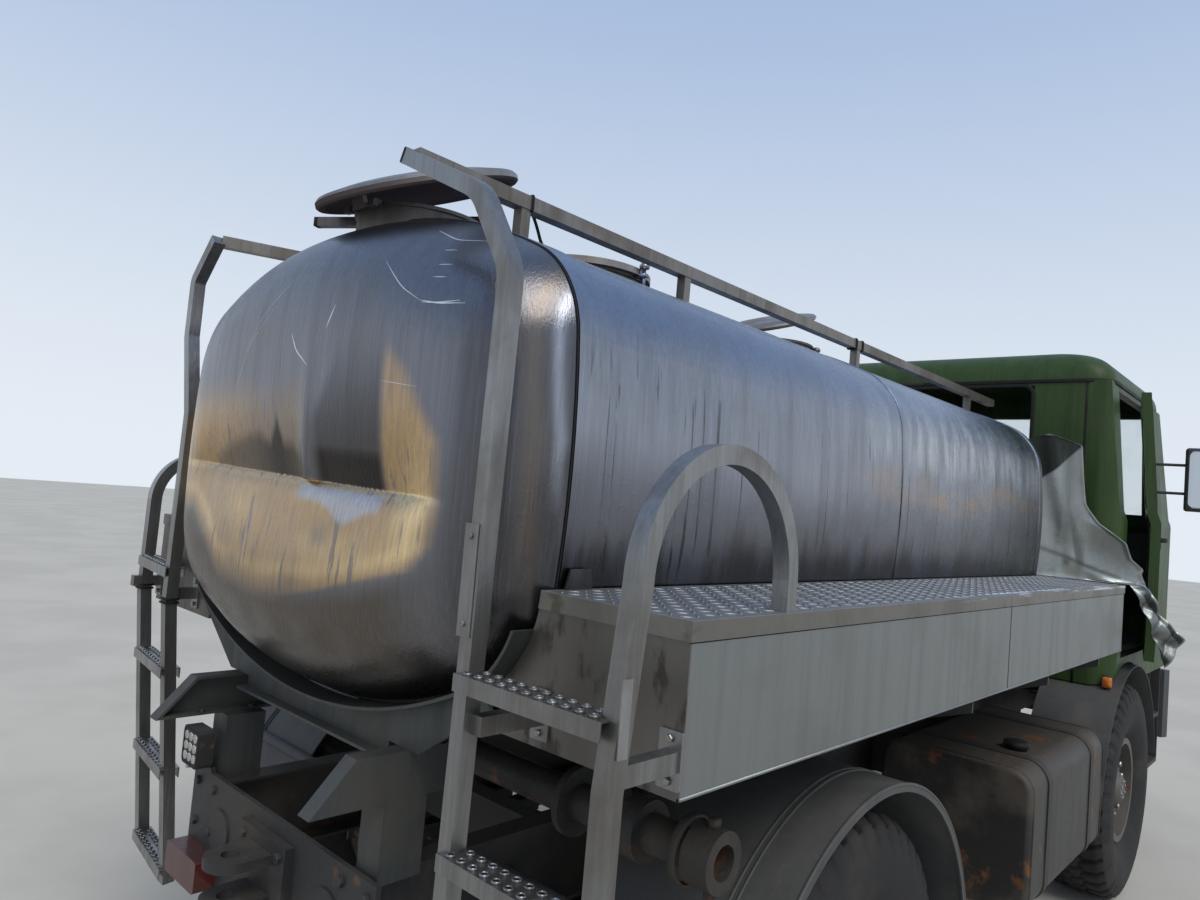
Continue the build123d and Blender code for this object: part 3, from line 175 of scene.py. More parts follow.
def make_weathering():
    """Group: rain streaks down the surface, blotches of dirt, and dust on what faces up."""
    tree, given, out = new_group(
        "weathering",
        [("Colour", "Color", (0.5, 0.5, 0.5, 1)), ("Streak Colour", "Color", (0.2, 0.2, 0.2, 1)),
         ("Dirt Colour", "Color", (0.2, 0.17, 0.14, 1)), ("Streaks", "Float", 0.5), ("Dirt", "Float", 0.5),
         ("Dust", "Float", 0.5), ("Roughness", "Float", 0.4), ("Dirty Roughness", "Float", 0.8)],
        [("Colour", "Color"), ("Roughness", "Float"), ("Height", "Float")])
    streaks = product(tree, noise_mask(tree, (16, 16, 0.9), 0.44, 0.66), given["Streaks"])
    fine = product(tree, noise_mask(tree, (70, 70, 2.2), 0.45, 0.72), given["Streaks"])
    blotch = product(tree, noise_mask(tree, (3.5, 3.5, 3.5), 0.46, 0.68), given["Dirt"])
    specks = noise_mask(tree, (45, 45, 45), 0.5, 0.7)
    faces_up = ramp(tree, upward(tree), 0.35, 0.95)
    dust = product(tree, faces_up, given["Dust"], ramp(tree, specks, 0.0, 1.0, 0.55, 1.0))
    dirt = maths(tree, "MAXIMUM", blotch, dust)
    runs = maths(tree, "MAXIMUM", streaks, product(tree, fine, 0.6))
    streaked = mixed(tree, runs, given["Colour"], given["Streak Colour"])
    tree.links.new(mixed(tree, dirt, streaked, given["Dirt Colour"]), out["Colour"])
    dulled = maths(tree, "MAXIMUM", dirt, product(tree, streaks, 0.5))
    rough = node(tree, "MapRange", {"Value": dulled, 3: given["Roughness"], 4: given["Dirty Roughness"]})
    tree.links.new(rough.outputs[0], out["Roughness"])
    height = maths(tree, "ADD", product(tree, specks, 0.4), product(tree, blotch, 0.6))
    tree.links.new(height, out["Height"])
    return tree


weathering = make_weathering()
rust_colour = (0.19, 0.075, 0.028)


# Materials by name
looks = {}


def new_look(name):
    """Starts a material and keeps it in looks; gives its node tree and its shader."""
    look = bpy.data.materials.new(name)
    look.use_nodes = True
    looks[name] = look
    return look.node_tree, look.node_tree.nodes["Principled BSDF"]


def finish(name, colour, roughness, metallic=0.0, streak=None, dirt=(0.16, 0.14, 0.12),
           amounts=(0.4, 0.4, 0.5), dirty_roughness=0.8, grain=None, bump=0.0004, rust=0.0, sockets=(),
           extra=None, under=None):
    """A weathered material. amounts are streaks, dirt and dust; grain is a stretch for fine lines; rust is
    a share of the surface; extra(tree, colour) may add to the colour; sockets are constants of the shader;
    under is the colour of painted shade on what faces down, which also loses its metal there."""
    tree, shader = new_look(name)
    shader.inputs["Metallic"].default_value = metallic
    for key, value in dict(sockets).items():
        shader.inputs[key].default_value = value
    worn = node(tree, "Group", node_tree=weathering)
    values = {"Colour": rgba(colour), "Streak Colour": rgba(streak or [c * 0.55 for c in colour]),
              "Dirt Colour": rgba(dirt), "Streaks": amounts[0], "Dirt": amounts[1], "Dust": amounts[2],
              "Roughness": roughness, "Dirty Roughness": dirty_roughness}
    for key, value in values.items():
        worn.inputs[key].default_value = value
    shade, height = worn.outputs["Colour"], worn.outputs["Height"]
    if rust:
        spots = noise_mask(tree, (5, 5, 5), 0.72 - 0.3 * rust, 0.80 - 0.3 * rust)
        shade = mixed(tree, spots, shade, rust_colour)
    if extra:
        shade = extra(tree, shade)
    if under:
        # Painted shade on what faces down: its colour goes towards under and its metallic to none
        up = upward(tree)
        shade = mixed(tree, ramp(tree, up, -0.35, -0.05, 0.97, 0.0), shade, under)
        tree.links.new(ramp(tree, up, -0.35, -0.05, 0.0, metallic), shader.inputs["Metallic"])
    if grain:
        lines = noise_mask(tree, grain, 0.3, 0.7)
        height = maths(tree, "ADD", height, product(tree, lines, 0.7))
        shade = mixed(tree, product(tree, lines, 0.22), shade, [c * 0.35 for c in colour])
    bumped = node(tree, "Bump", {"Height": height, "Distance": bump, "Strength": 1.0})
    tree.links.new(shade, shader.inputs["Base Color"])
    tree.links.new(worn.outputs["Roughness"], shader.inputs["Roughness"])
    tree.links.new(bumped.outputs[0], shader.inputs["Normal"])


# Marks of the dented head in the order that they are laid on, each with its colour and strength
# Several of these marks are painted light: shade, a golden reflection, highlights, shade in the dent's
# pockets and a glint
head_colours = {
    "shade": ((0.070, 0.066, 0.066), 0.88),
    "brown": ((0.135, 0.105, 0.070), 0.80),
    "straw_reflection": ((0.66, 0.425, 0.195), 0.95),
    "pale_highlight": ((0.97, 0.73, 0.40), 0.85),
    "mottle": ((0.25, 0.22, 0.20), 0.7),
    "hollow": ((0.030, 0.023, 0.018), 0.97),
    "glint": ((0.50, 0.52, 0.58), 0.85),
    "rim": ((0.20, 0.165, 0.13), 0.9),
}


def head_marks(tree, shade):
    """Colour step of the dented head: lays on its marks in turn, each where a mesh attribute says."""
    fine = ramp(tree, noise_mask(tree, (95, 95, 3), 0.35, 0.75), 0, 1, 1.0, 0.70)
    drips = ramp(tree, noise_mask(tree, (34, 34, 2.5), 0.58, 0.64), 0, 1, 1.0, 0.25)
    for label, (colour, share) in head_colours.items():
        mark = node(tree, "Attribute", attribute_name=label).outputs["Fac"]
        if label in ("straw_reflection", "pale_highlight"):
            mark = product(tree, mark, drips)
        if label != "hollow":
            mark = product(tree, mark, fine)
        shade = mixed(tree, maths(tree, "MULTIPLY", mark, share, clamp=True), shade, colour)
    return shade


def coordinate(tree, axis):
    """One object coordinate, in metres, which is also the place on the vehicle."""
    place = node(tree, "TexCoord").outputs["Object"]
    return node(tree, "SeparateXYZ", {0: place}).outputs["XYZ".index(axis)]


def side_reflections_and_dirt(tree, shade):
    """Colour step of the shell: painted reflections, bluish sky above, a bright band at eye height, warm
    patches below that, then a darker ground, with thin dark runs and splashed dirt at the foot."""
    uneven = product(tree, noise_mask(tree, (1.1, 1.1, 1.1), 0.3, 0.7), 0.10)
    level = maths(tree, "ADD", coordinate(tree, "Z"), uneven)
    ahead = ramp(tree, coordinate(tree, "X"), -1.9, -0.4)
    # Painted reflections of sky, horizon and dark ground, laid on by height
    shade = mixed(tree, ramp(tree, level, 2.30, 2.62, 0.0, 0.55), shade, (0.27, 0.33, 0.46))
    pale_highlight = product(tree, ramp(tree, level, 2.20, 2.32), ramp(tree, level, 2.36, 2.62, 1.0, 0.0), ahead,
                   noise_mask(tree, (14, 14, 0.8), 0.35, 0.65), 0.75)
    shade = mixed(tree, pale_highlight, shade, (0.72, 0.74, 0.76))
    shade = mixed(tree, ramp(tree, level, 2.02, 2.20, 0.66, 0.0), shade, (0.135, 0.135, 0.155))
    warm = product(tree, ramp(tree, level, 2.07, 2.13), ramp(tree, level, 2.19, 2.25, 1.0, 0.0), ahead,
                   noise_mask(tree, (2.3, 2.3, 9), 0.42, 0.6), 0.55)
    shade = mixed(tree, warm, shade, (0.50, 0.33, 0.21))
    runs = product(tree, noise_mask(tree, (42, 42, 0.7), 0.60, 0.66), ramp(tree, level, 2.15, 2.45, 0.8, 0.1))
    shade = mixed(tree, runs, shade, (0.045, 0.042, 0.042))
    ragged = product(tree, noise_mask(tree, (9, 9, 1.5), 0.3, 0.7), 0.12)
    splashed = ramp(tree, maths(tree, "SUBTRACT", coordinate(tree, "Z"), ragged), 1.72, 1.87, 0.9, 0.0)
    return mixed(tree, splashed, shade, (0.075, 0.066, 0.058))


def trim_marks(tree, shade):
    """Colour step of the deck: dirt and moss on the turned-down trim, and bright painted reflections by its
    edge.
    """
    level, out = coordinate(tree, "Z"), maths(tree, "ABSOLUTE", coordinate(tree, "Y"))
    on_trim = ramp(tree, level, deck_high.z - 0.0012, deck_high.z - 0.0006, 1.0, 0.0)
    shade = mixed(tree, product(tree, on_trim, 0.8), shade, (0.185, 0.168, 0.135))
    moss = product(tree, on_trim, noise_mask(tree, (8, 8, 8), 0.58, 0.68), 0.7)
    shade = mixed(tree, moss, shade, (0.075, 0.078, 0.045))
    # Painted reflection: near-white patches along the deck's outer edge
    edge_reflection = product(tree, ramp(tree, out, 1.195, 1.235), noise_mask(tree, (3, 30, 30), 0.48, 0.58),
                  ramp(tree, coordinate(tree, "X"), -1.7, -1.1),
                  ramp(tree, level, deck_high.z - 0.014, deck_high.z - 0.006), 0.9)
    return mixed(tree, edge_reflection, shade, (0.80, 0.84, 0.90))


def locker_marks(tree, shade):
    """Colour step of the lockers: brown smears with dark blots on their rear faces."""
    rear = ramp(tree, coordinate(tree, "X"), locker_low.x + 0.001, locker_low.x + 0.006, 1.0, 0.0)
    shade = mixed(tree, product(tree, rear, 0.72), shade, (0.125, 0.105, 0.085))
    blots = product(tree, rear, noise_mask(tree, (9, 14, 7), 0.55, 0.68), 0.75)
    return mixed(tree, blots, shade, (0.045, 0.038, 0.033))


def fold_shading(tree, shade):
    """Colour step of the torn sheet: painted shade on its folds and crumpled end, from a mesh attribute."""
    mark = node(tree, "Attribute", attribute_name="fold_shade").outputs["Fac"]
    return mixed(tree, product(tree, mark, 0.95), shade, (0.018, 0.024, 0.021))


def groove_shading(tree, shade):
    """Colour step of the tyres: painted shade in the grooves, from a mesh attribute."""
    mark = node(tree, "Attribute", attribute_name="groove").outputs["Fac"]
    return mixed(tree, product(tree, mark, 0.8), shade, (0.010, 0.010, 0.010))


def clear(name, tint, roughness=0.02, transmission=0.94, ior=1.45):
    """Glass or a clear lens: a plain transmission, with a film of dust that roughens it in patches."""
    tree, shader = new_look(name)
    shader.inputs["Transmission Weight"].default_value = transmission
    shader.inputs["IOR"].default_value = ior
    dusty = noise_mask(tree, (7, 7, 5), 0.45, 0.8)
    tree.links.new(mixed(tree, dusty, tint, [c * 0.88 for c in tint]), shader.inputs["Base Color"])
    tree.links.new(ramp(tree, dusty, 0, 1, roughness, roughness + 0.12), shader.inputs["Roughness"])


steel_lines = (150, 150, 2.5)
finish("tank_steel", colour=(0.31, 0.325, 0.365), roughness=0.25, metallic=1.0,
       streak=(0.21, 0.215, 0.24), dirt=(0.27, 0.235, 0.19), amounts=(0.45, 0.25, 0.10),
       dirty_roughness=0.5, grain=steel_lines, bump=0.0004, extra=side_reflections_and_dirt)
# The rear head takes the shell's steel made darker all over: painted shade
finish("head_steel_shaded", colour=(0.215, 0.218, 0.243), roughness=0.27, metallic=1.0,
       streak=(0.145, 0.143, 0.155), dirt=(0.23, 0.205, 0.175), amounts=(0.45, 0.3, 0.1),
       dirty_roughness=0.45, grain=steel_lines, bump=0.0004, extra=head_marks)
finish("band_steel", colour=(0.335, 0.35, 0.385), roughness=0.3, metallic=1.0, streak=(0.22, 0.22, 0.23),
       dirt=(0.26, 0.23, 0.19), amounts=(0.5, 0.3, 0.1), dirty_roughness=0.5, grain=steel_lines,
       bump=0.0003, extra=side_reflections_and_dirt)
# The lids' undersides are painted in shade by the under colour
finish("lid_steel", colour=(0.36, 0.335, 0.31), roughness=0.36, metallic=0.9, streak=(0.2, 0.17, 0.14),
       dirt=(0.20, 0.155, 0.115), amounts=(0.3, 0.6, 0.2), dirty_roughness=0.65, grain=(30, 30, 30),
       bump=0.0005, rust=0.12, sockets={"Specular IOR Level": 0.0}, under=(0.105, 0.083, 0.088))
finish("neck_steel", colour=(0.165, 0.150, 0.145), roughness=0.45, metallic=0.8,
       streak=(0.08, 0.07, 0.065), dirt=(0.10, 0.075, 0.055), amounts=(0.5, 0.7, 0.2),
       dirty_roughness=0.7, grain=(40, 40, 4), bump=0.0005, rust=0.2)
finish("satin_steel", colour=(0.265, 0.282, 0.282), roughness=0.40, metallic=0.75,
       streak=(0.205, 0.218, 0.218), dirt=(0.19, 0.18, 0.16), amounts=(0.55, 0.3, 0.15),
       dirty_roughness=0.6, bump=0.00025, extra=locker_marks)
finish("deck_plate", colour=(0.37, 0.385, 0.40), roughness=0.38, metallic=0.8, streak=(0.25, 0.25, 0.25),
       dirt=(0.24, 0.235, 0.22), amounts=(0.1, 0.55, 0.35), dirty_roughness=0.75, grain=(30, 30, 30),
       bump=0.0003, extra=trim_marks)
finish("rail_steel", colour=(0.27, 0.25, 0.225), roughness=0.38, metallic=0.75,
       streak=(0.15, 0.135, 0.118), dirt=(0.155, 0.125, 0.095), amounts=(0.7, 0.6, 0.25),
       dirty_roughness=0.7, grain=(110, 110, 9), bump=0.0003)
finish("ladder_steel", colour=(0.300, 0.303, 0.306), roughness=0.29, metallic=0.85,
       streak=(0.155, 0.148, 0.135), dirt=(0.15, 0.12, 0.09), amounts=(0.55, 0.45, 0.15),
       dirty_roughness=0.6, grain=(110, 110, 9), bump=0.0003)
finish("splice_steel", colour=(0.42, 0.43, 0.45), roughness=0.4, metallic=0.6, streak=(0.28, 0.28, 0.28),
       dirt=(0.22, 0.20, 0.17), amounts=(0.6, 0.6, 0.1), dirty_roughness=0.6, grain=(110, 110, 9),
       bump=0.0003)
finish("torn_steel", colour=(0.36, 0.385, 0.375), roughness=0.3, metallic=0.85, streak=(0.24, 0.26, 0.25),
       dirt=(0.20, 0.20, 0.18), amounts=(0.3, 0.5, 0.1), dirty_roughness=0.55, bump=0.0012,
       extra=fold_shading)
finish("frame_black", colour=(0.030, 0.030, 0.032), roughness=0.55, streak=(0.020, 0.019, 0.018),
       dirt=(0.075, 0.064, 0.052), amounts=(0.3, 0.75, 0.65), dirty_roughness=0.88, bump=0.0012,
       rust=0.25)
finish("bracket_grey", colour=(0.072, 0.080, 0.080), roughness=0.5, metallic=0.35,
       streak=(0.04, 0.044, 0.044), dirt=(0.10, 0.09, 0.078), amounts=(0.5, 0.7, 0.4),
       dirty_roughness=0.8, bump=0.0009, rust=0.12)
finish("cab_green", colour=(0.040, 0.082, 0.022), roughness=0.42, streak=(0.022, 0.046, 0.013),
       dirt=(0.075, 0.095, 0.045), amounts=(0.55, 0.4, 0.25), dirty_roughness=0.7, grain=(70, 70, 3),
       bump=0.00015, sockets={"Specular IOR Level": 0.28})
finish("fender_grey", colour=(0.066, 0.070, 0.074), roughness=0.5, streak=(0.045, 0.046, 0.048),
       dirt=(0.115, 0.112, 0.105), amounts=(0.5, 0.6, 0.6), dirty_roughness=0.8, bump=0.0006)
finish("tyre_rubber", colour=(0.030, 0.030, 0.031), roughness=0.75, streak=(0.018, 0.018, 0.018),
       dirt=(0.070, 0.067, 0.062), amounts=(0.2, 0.6, 0.4), dirty_roughness=0.92, bump=0.0008,
       sockets={"Specular IOR Level": 0.25}, extra=groove_shading)
finish("bright_scratch", colour=(0.80, 0.83, 0.90), roughness=0.3, metallic=0.6, streak=(0.6, 0.62, 0.66),
       dirt=(0.4, 0.38, 0.34), amounts=(0.3, 0.3, 0.1), dirty_roughness=0.5, bump=0.0002)
finish("mirror_silver", colour=(0.50, 0.53, 0.57), roughness=0.06, metallic=1.0, streak=(0.4, 0.42, 0.45),
       dirt=(0.22, 0.21, 0.19), amounts=(0.3, 0.35, 0.2), dirty_roughness=0.4, bump=0.00005)
finish("rim_grey", colour=(0.135, 0.13, 0.12), roughness=0.5, metallic=0.2, streak=(0.08, 0.075, 0.07),
       dirt=(0.12, 0.10, 0.082), amounts=(0.3, 0.8, 0.6), dirty_roughness=0.85, bump=0.0009, rust=0.35)
finish("tank_black", colour=(0.028, 0.027, 0.027), roughness=0.42, metallic=0.1,
       streak=(0.020, 0.018, 0.017), dirt=(0.125, 0.105, 0.085), amounts=(0.3, 0.6, 0.95),
       dirty_roughness=0.85, bump=0.0007, rust=0.45)
finish("cast", colour=(0.045, 0.043, 0.041), roughness=0.55, metallic=0.3, streak=(0.02, 0.019, 0.018),
       dirt=(0.085, 0.07, 0.055), amounts=(0.3, 0.9, 0.6), dirty_roughness=0.85, bump=0.002, rust=0.4)
finish("dull_alloy", colour=(0.33, 0.32, 0.30), roughness=0.42, metallic=0.8, streak=(0.2, 0.19, 0.18),
       dirt=(0.15, 0.13, 0.11), amounts=(0.4, 0.8, 0.5), dirty_roughness=0.8, grain=(20, 20, 20),
       bump=0.0006)
finish("interior_plastic", colour=(0.038, 0.039, 0.041), roughness=0.62, streak=(0.03, 0.03, 0.031),
       dirt=(0.10, 0.095, 0.085), amounts=(0.1, 0.5, 0.6), dirty_roughness=0.85, grain=(180, 180, 180),
       bump=0.0004)
finish("rubber", colour=(0.012, 0.012, 0.012), roughness=0.6, streak=(0.008, 0.008, 0.008),
       dirt=(0.030, 0.028, 0.026), amounts=(0.2, 0.5, 0.4), dirty_roughness=0.85, bump=0.0003,
       sockets={"Specular IOR Level": 0.3})
finish("bright_bolt", colour=(0.34, 0.33, 0.31), roughness=0.35, metallic=1.0, streak=(0.2, 0.18, 0.16),
       dirt=(0.15, 0.115, 0.085), amounts=(0.3, 0.7, 0.2), dirty_roughness=0.7, bump=0.0002)
finish("lens_red", colour=(0.085, 0.010, 0.009), roughness=0.3, streak=(0.05, 0.008, 0.007),
       dirt=(0.060, 0.045, 0.038), amounts=(0.3, 0.9, 0.7), dirty_roughness=0.7, grain=(0, 320, 0),
       bump=0.0006, sockets={"Coat Weight": 0.3})
finish("lens_orange", colour=(0.72, 0.20, 0.012), roughness=0.2, streak=(0.55, 0.14, 0.01),
       dirt=(0.35, 0.16, 0.06), amounts=(0.2, 0.3, 0.3), dirty_roughness=0.6, grain=(0, 0, 300),
       bump=0.0006, sockets={"Coat Weight": 0.6})
finish("reflector_white", colour=(0.62, 0.62, 0.60), roughness=0.15, metallic=0.6,
       streak=(0.45, 0.44, 0.42), dirt=(0.3, 0.28, 0.25), amounts=(0.2, 0.4, 0.2), dirty_roughness=0.6,
       grain=(180, 180, 180), bump=0.0006, sockets={"Coat Weight": 0.8})
clear("cab_glass", (0.90, 0.94, 0.93))


def make_fabric():
    """Seat cloth: a fine over-and-under weave, with worn paler patches and a soft sheen."""
    tree, shader = new_look("seat_cloth")
    shader.inputs["Sheen Weight"].default_value = 0.4
    threads_per_metre = 1900.0
    x, y, z = (coordinate(tree, axis) for axis in "XYZ")
    waves = [maths(tree, "SINE", product(tree, maths(tree, "ADD", a, b), threads_per_metre))
             for a, b in ((x, z), (y, z))]
    weave = product(tree, *waves)
    worn = noise_mask(tree, (6, 6, 6), 0.45, 0.7)
    shade = mixed(tree, ramp(tree, weave, -1, 1), (0.030, 0.032, 0.036), (0.062, 0.064, 0.070))
    tree.links.new(mixed(tree, product(tree, worn, 0.5), shade, (0.13, 0.125, 0.115)),
                   shader.inputs["Base Color"])
    tree.links.new(ramp(tree, worn, 0, 1, 0.85, 0.95), shader.inputs["Roughness"])
    bumped = node(tree, "Bump", {"Height": weave, "Distance": 0.0006, "Strength": 0.8})
    tree.links.new(bumped.outputs[0], shader.inputs["Normal"])


make_fabric()

# Which finish each CAD node that stays takes
node_looks = {
    "frame_black": ["chassis_frame", "leaf_springs", "rear_axle", "front_axle", "engine_block", "radiator",
                    "gearbox_and_shafts", "knuckle_right", "knuckle_left", "battery_box", "entry_steps",
                    "fuel_tank_straps", "towing_jaw", "work_lamp"],
    "bracket_grey": ["tank_saddles"],
    "tank_steel": ["tank_shell", "tank_front_head"],
    "band_steel": ["tank_bands"],
    "lid_steel": ["closed_lids", "rear_lid", "third_lid"],
    "neck_steel": ["manhole_necks"],
    "satin_steel": ["walkway_lockers"],
    "deck_plate": ["walkway_decks"],
    "rail_steel": ["top_rails"],
    "ladder_steel": ["ladder_right", "ladder_left"],
    "torn_steel": ["torn_sheet"],
    "fender_grey": ["rear_fenders", "front_mudguards", "front_bumper"],
    "tank_black": ["fuel_tank", "silencer"],
    "dull_alloy": ["air_tanks"],
    "cast": ["discharge_pipe"],
    "rim_grey": [f"rim_{place}_{hand}" for place in ("front", "rear") for hand in sides],
    "cab_green": ["cab_roof", "cab_rear_wall", "cab_sides", "cab_front", "door_right", "door_left"],
    "interior_plastic": ["cab_floor", "dashboard", "mirror_right", "mirror_left"],
    "cab_glass": ["windscreen", "door_glass_right", "door_glass_left"],
    "lens_red": ["tail_lamps"],
    "reflector_white": ["headlamps"],
}
for look, names in node_looks.items():
    for name in names:
        nodes[name].data.materials.clear()
        nodes[name].data.materials.append(looks[look])


# Shape helpers: a part is vertices, four-cornered faces and three-cornered faces
def outward(vertices, quads, tris):
    """The part with its faces turned so that its signed volume, a sum of corner products, is positive."""
    corners = np.concatenate([quads[:, [0, 1, 2]], quads[:, [0, 2, 3]], tris])
    a, b, c = (vertices[corners[:, k]] for k in range(3))
    if np.einsum("ij,ij->", a, np.cross(b, c)) < 0:
        quads, tris = quads[:, ::-1], tris[:, ::-1]
    return vertices, quads, tris


def panel(points, wrap=(False, False), caps=False):
    """Part from a grid of points, joined round where wrap says; caps close its end rows with centre
    points."""
    rows, columns = points.shape[:2]
    index = np.arange(rows * columns).reshape(rows, columns)
    if wrap[0]:
        index = np.vstack([index, index[:1]])
    if wrap[1]:
        index = np.hstack([index, index[:, :1]])
    quads = np.stack([index[:-1, :-1], index[:-1, 1:], index[1:, 1:], index[1:, :-1]], -1).reshape(-1, 4)
    vertices, tris = points.reshape(-1, 3), np.zeros((0, 3), int)
    if caps:
        count = len(vertices)
        vertices = np.vstack([vertices, points[0].mean(0), points[-1].mean(0)])
        first = np.stack([np.full(index.shape[1] - 1, count), index[0, 1:], index[0, :-1]], -1)
        last = np.stack([np.full(index.shape[1] - 1, count + 1), index[-1, :-1], index[-1, 1:]], -1)
        tris = np.concatenate([first, last])
    return outward(vertices, quads, tris)


def joined(parts):
    """Several parts as one."""
    start, gathered = 0, ([], [], [])
    for vertices, quads, tris in parts:
        for store, rows in zip(gathered, (vertices, quads + start, tris + start)):
            store.append(rows)
        start += len(vertices)
    return tuple(np.concatenate(rows) for rows in gathered)


def copies(part, places, turns=None):
    """The part set down at each place; turns are rotation matrices, one for each place."""
    vertices, quads, tris = part
    places = np.asarray(places, float)
    count = len(places)
    turned = vertices[None] if turns is None else np.einsum("nij,vj->nvi", turns, vertices)
    shift = np.arange(count)[:, None, None] * len(vertices)
    return ((turned + places[:, None]).reshape(-1, 3), (quads[None] + shift).reshape(-1, 4),
            (tris[None] + shift).reshape(-1, 3))


def moved(part, matrix):
    """The part under a 4 by 4 matrix."""
    matrix = np.array(matrix, float)
    return part[0] @ matrix[:3, :3].T + matrix[:3, 3], part[1], part[2]


def piece(name, parts, look, body="truck", smooth=True, replaces=()):
    """Blender object from parts, riding on a body."""
    vertices, quads, tris = joined(parts)
    mesh = bpy.data.meshes.new(name)
    mesh.vertices.add(len(vertices))
    mesh.vertices.foreach_set("co", vertices.astype(np.float32).ravel())
    corners = np.concatenate([quads.ravel(), tris.ravel()]).astype(np.int32)
    mesh.loops.add(len(corners))
    mesh.loops.foreach_set("vertex_index", corners)
    starts = np.concatenate([np.arange(len(quads)) * 4, 4 * len(quads) + np.arange(len(tris)) * 3])
    mesh.polygons.add(len(starts))
    mesh.polygons.foreach_set("loop_start", starts.astype(np.int32))
    mesh.polygons.foreach_set("use_smooth", np.full(len(starts), smooth))
    mesh.update(calc_edges=True)
    mesh.validate()
    mesh.materials.append(looks[look])
    made = bpy.data.objects.new(name, mesh)
    scene.collection.objects.link(made)
    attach(made, body)
    if replaces:
        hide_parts(*replaces)
    return made


def even_turn(count):
    """Angles spaced evenly round a circle."""
    return np.arange(count) * 2 * math.pi / count


def round_points(turn):
    """Points at the angles on a circle of radius one."""
    return np.stack([np.cos(turn), np.sin(turn)], -1)


def at_x(points, x):
    """(y, z) points as a path across the vehicle at x."""
    return np.column_stack([np.full(len(points), x), points])


def signed_power(value, power):
    """The size of a value raised to a power, with the value's own sign."""
    return np.sign(value) * np.abs(value) ** power


def disc(radius, count=8):
    """Round profile: points evenly round a circle."""
    return radius * round_points(even_turn(count))


def pad(width, height, corner, per_corner=4):
    """Rectangle profile with round corners, each a quarter circle."""
    turn = np.linspace(0, math.pi / 2, per_corner)
    quarter = corner * round_points(turn) + (width / 2 - corner, height / 2 - corner)
    return np.concatenate([quarter, quarter[::-1] * (-1, 1), quarter * (-1, -1), quarter[::-1] * (1, -1)])


def carried(path, profile, up=(0, 0, 1), closed=False):
    """Part: a profile carried along a path; its first axis lies across the path, its second towards up."""
    path = np.asarray(path, float)
    ahead = np.roll(path, -1, 0) - np.roll(path, 1, 0) if closed else np.gradient(path, axis=0)
    ahead = ahead / np.linalg.norm(ahead, axis=1)[:, None]
    across = np.cross(ahead, np.broadcast_to(np.asarray(up, float), path.shape))
    across = across / np.linalg.norm(across, axis=1)[:, None]
    lift = np.cross(across, ahead)
    points = path[:, None] + profile[None, :, :1] * across[:, None] + profile[None, :, 1:] * lift[:, None]
    return panel(points, wrap=(closed, True), caps=not closed)


def turned(profile, centre, axis, count=24, closed=False):
    """Part: a profile of (radius, height) points turned about an axis through the centre."""
    axis = Vector(axis).normalized()
    first = axis.orthogonal().normalized()
    second = axis.cross(first)
    spokes = round_points(even_turn(count)) @ np.array([first, second])
    profile = np.asarray(profile, float)
    points = (np.asarray(centre, float) + profile[:, None, :1] * spokes[None]
              + profile[:, None, 1:] * np.array(axis))
    return panel(points, wrap=(closed, True), caps=not closed)


def bolt(radius, height, corners=6):
    """Part: a hexagon head with a chamfered top, standing on the origin along +Z."""
    profile = [(radius, -0.002), (radius, height * 0.75), (radius * 0.82, height)]
    return turned(profile, (0, 0, 0), (0, 0, 1), corners)


def facing(direction):
    """Rotation that turns +Z to a direction."""
    return np.array(Vector((0, 0, 1)).rotation_difference(Vector(direction)).to_matrix())


def bolts(size, places, direction):
    """Part: bolt heads of one (radius, height) at the places, all standing along a direction."""
    return copies(bolt(*size), places, np.repeat(facing(direction)[None], len(places), 0))


def smooth_step(value, low, high):
    """0 below low, 1 above high, and a smooth rise between."""
    t = np.clip((value - low) / (high - low), 0, 1)
    return t * t * (3 - 2 * t)


def tank_section(grow=0.0, per_arc=50):
    """Tank section as (y, z) points: crown, corner and flank arcs, each tangent to the next, grown evenly."""
    crown = Vector((0, half_height - crown_radius))
    flank = Vector((half_width - flank_radius, 0))
    to_crown, to_flank = crown_radius - corner_radius, flank_radius - corner_radius
    gap = flank - crown
    along = (to_crown**2 - to_flank**2 + gap.length**2) / (2 * gap.length)
    unit = gap.normalized()
    corner = crown + unit * along + Vector((unit.y, -unit.x)) * math.sqrt(to_crown**2 - along**2)
    crown_angle = math.atan2(corner.y - crown.y, corner.x - crown.x)
    flank_angle = math.atan2(corner.y - flank.y, corner.x - flank.x)
    arcs = ((flank, flank_radius, 0, flank_angle), (corner, corner_radius, flank_angle, crown_angle),
            (crown, crown_radius, crown_angle, math.pi / 2))
    quarter = []
    for centre, radius, start, stop in arcs:
        turn = np.linspace(start, stop, per_arc, endpoint=False)
        quarter.append(np.array(centre) + (radius + grow) * round_points(turn))
    quarter = np.concatenate(quarter)
    upper = np.concatenate([quarter, [[0, half_height + grow]], (quarter * (-1, 1))[::-1][:-1]])
    return np.concatenate([upper, upper * (-1, -1)]) + (0, tank_middle)


def tank_top(y):
    """Height of the tank's crown at a distance y from the middle."""
    return tank_middle + half_height - crown_radius + np.sqrt(crown_radius**2 - np.asarray(y, float) ** 2)


# The dented rear head: its ridge line, how deep it is pushed in there, and where the dent fades out
ridge_level, ridge_slope, dent_deepest = 1.969, 0.033, 0.052
dent_edges = {"left": (0.66, 0.40), "right": (-0.70, -0.55)}


def above_ridge(y, z):
    """Height of a point of the head over the dent's ridge line."""
    return z - (ridge_level + ridge_slope * y)


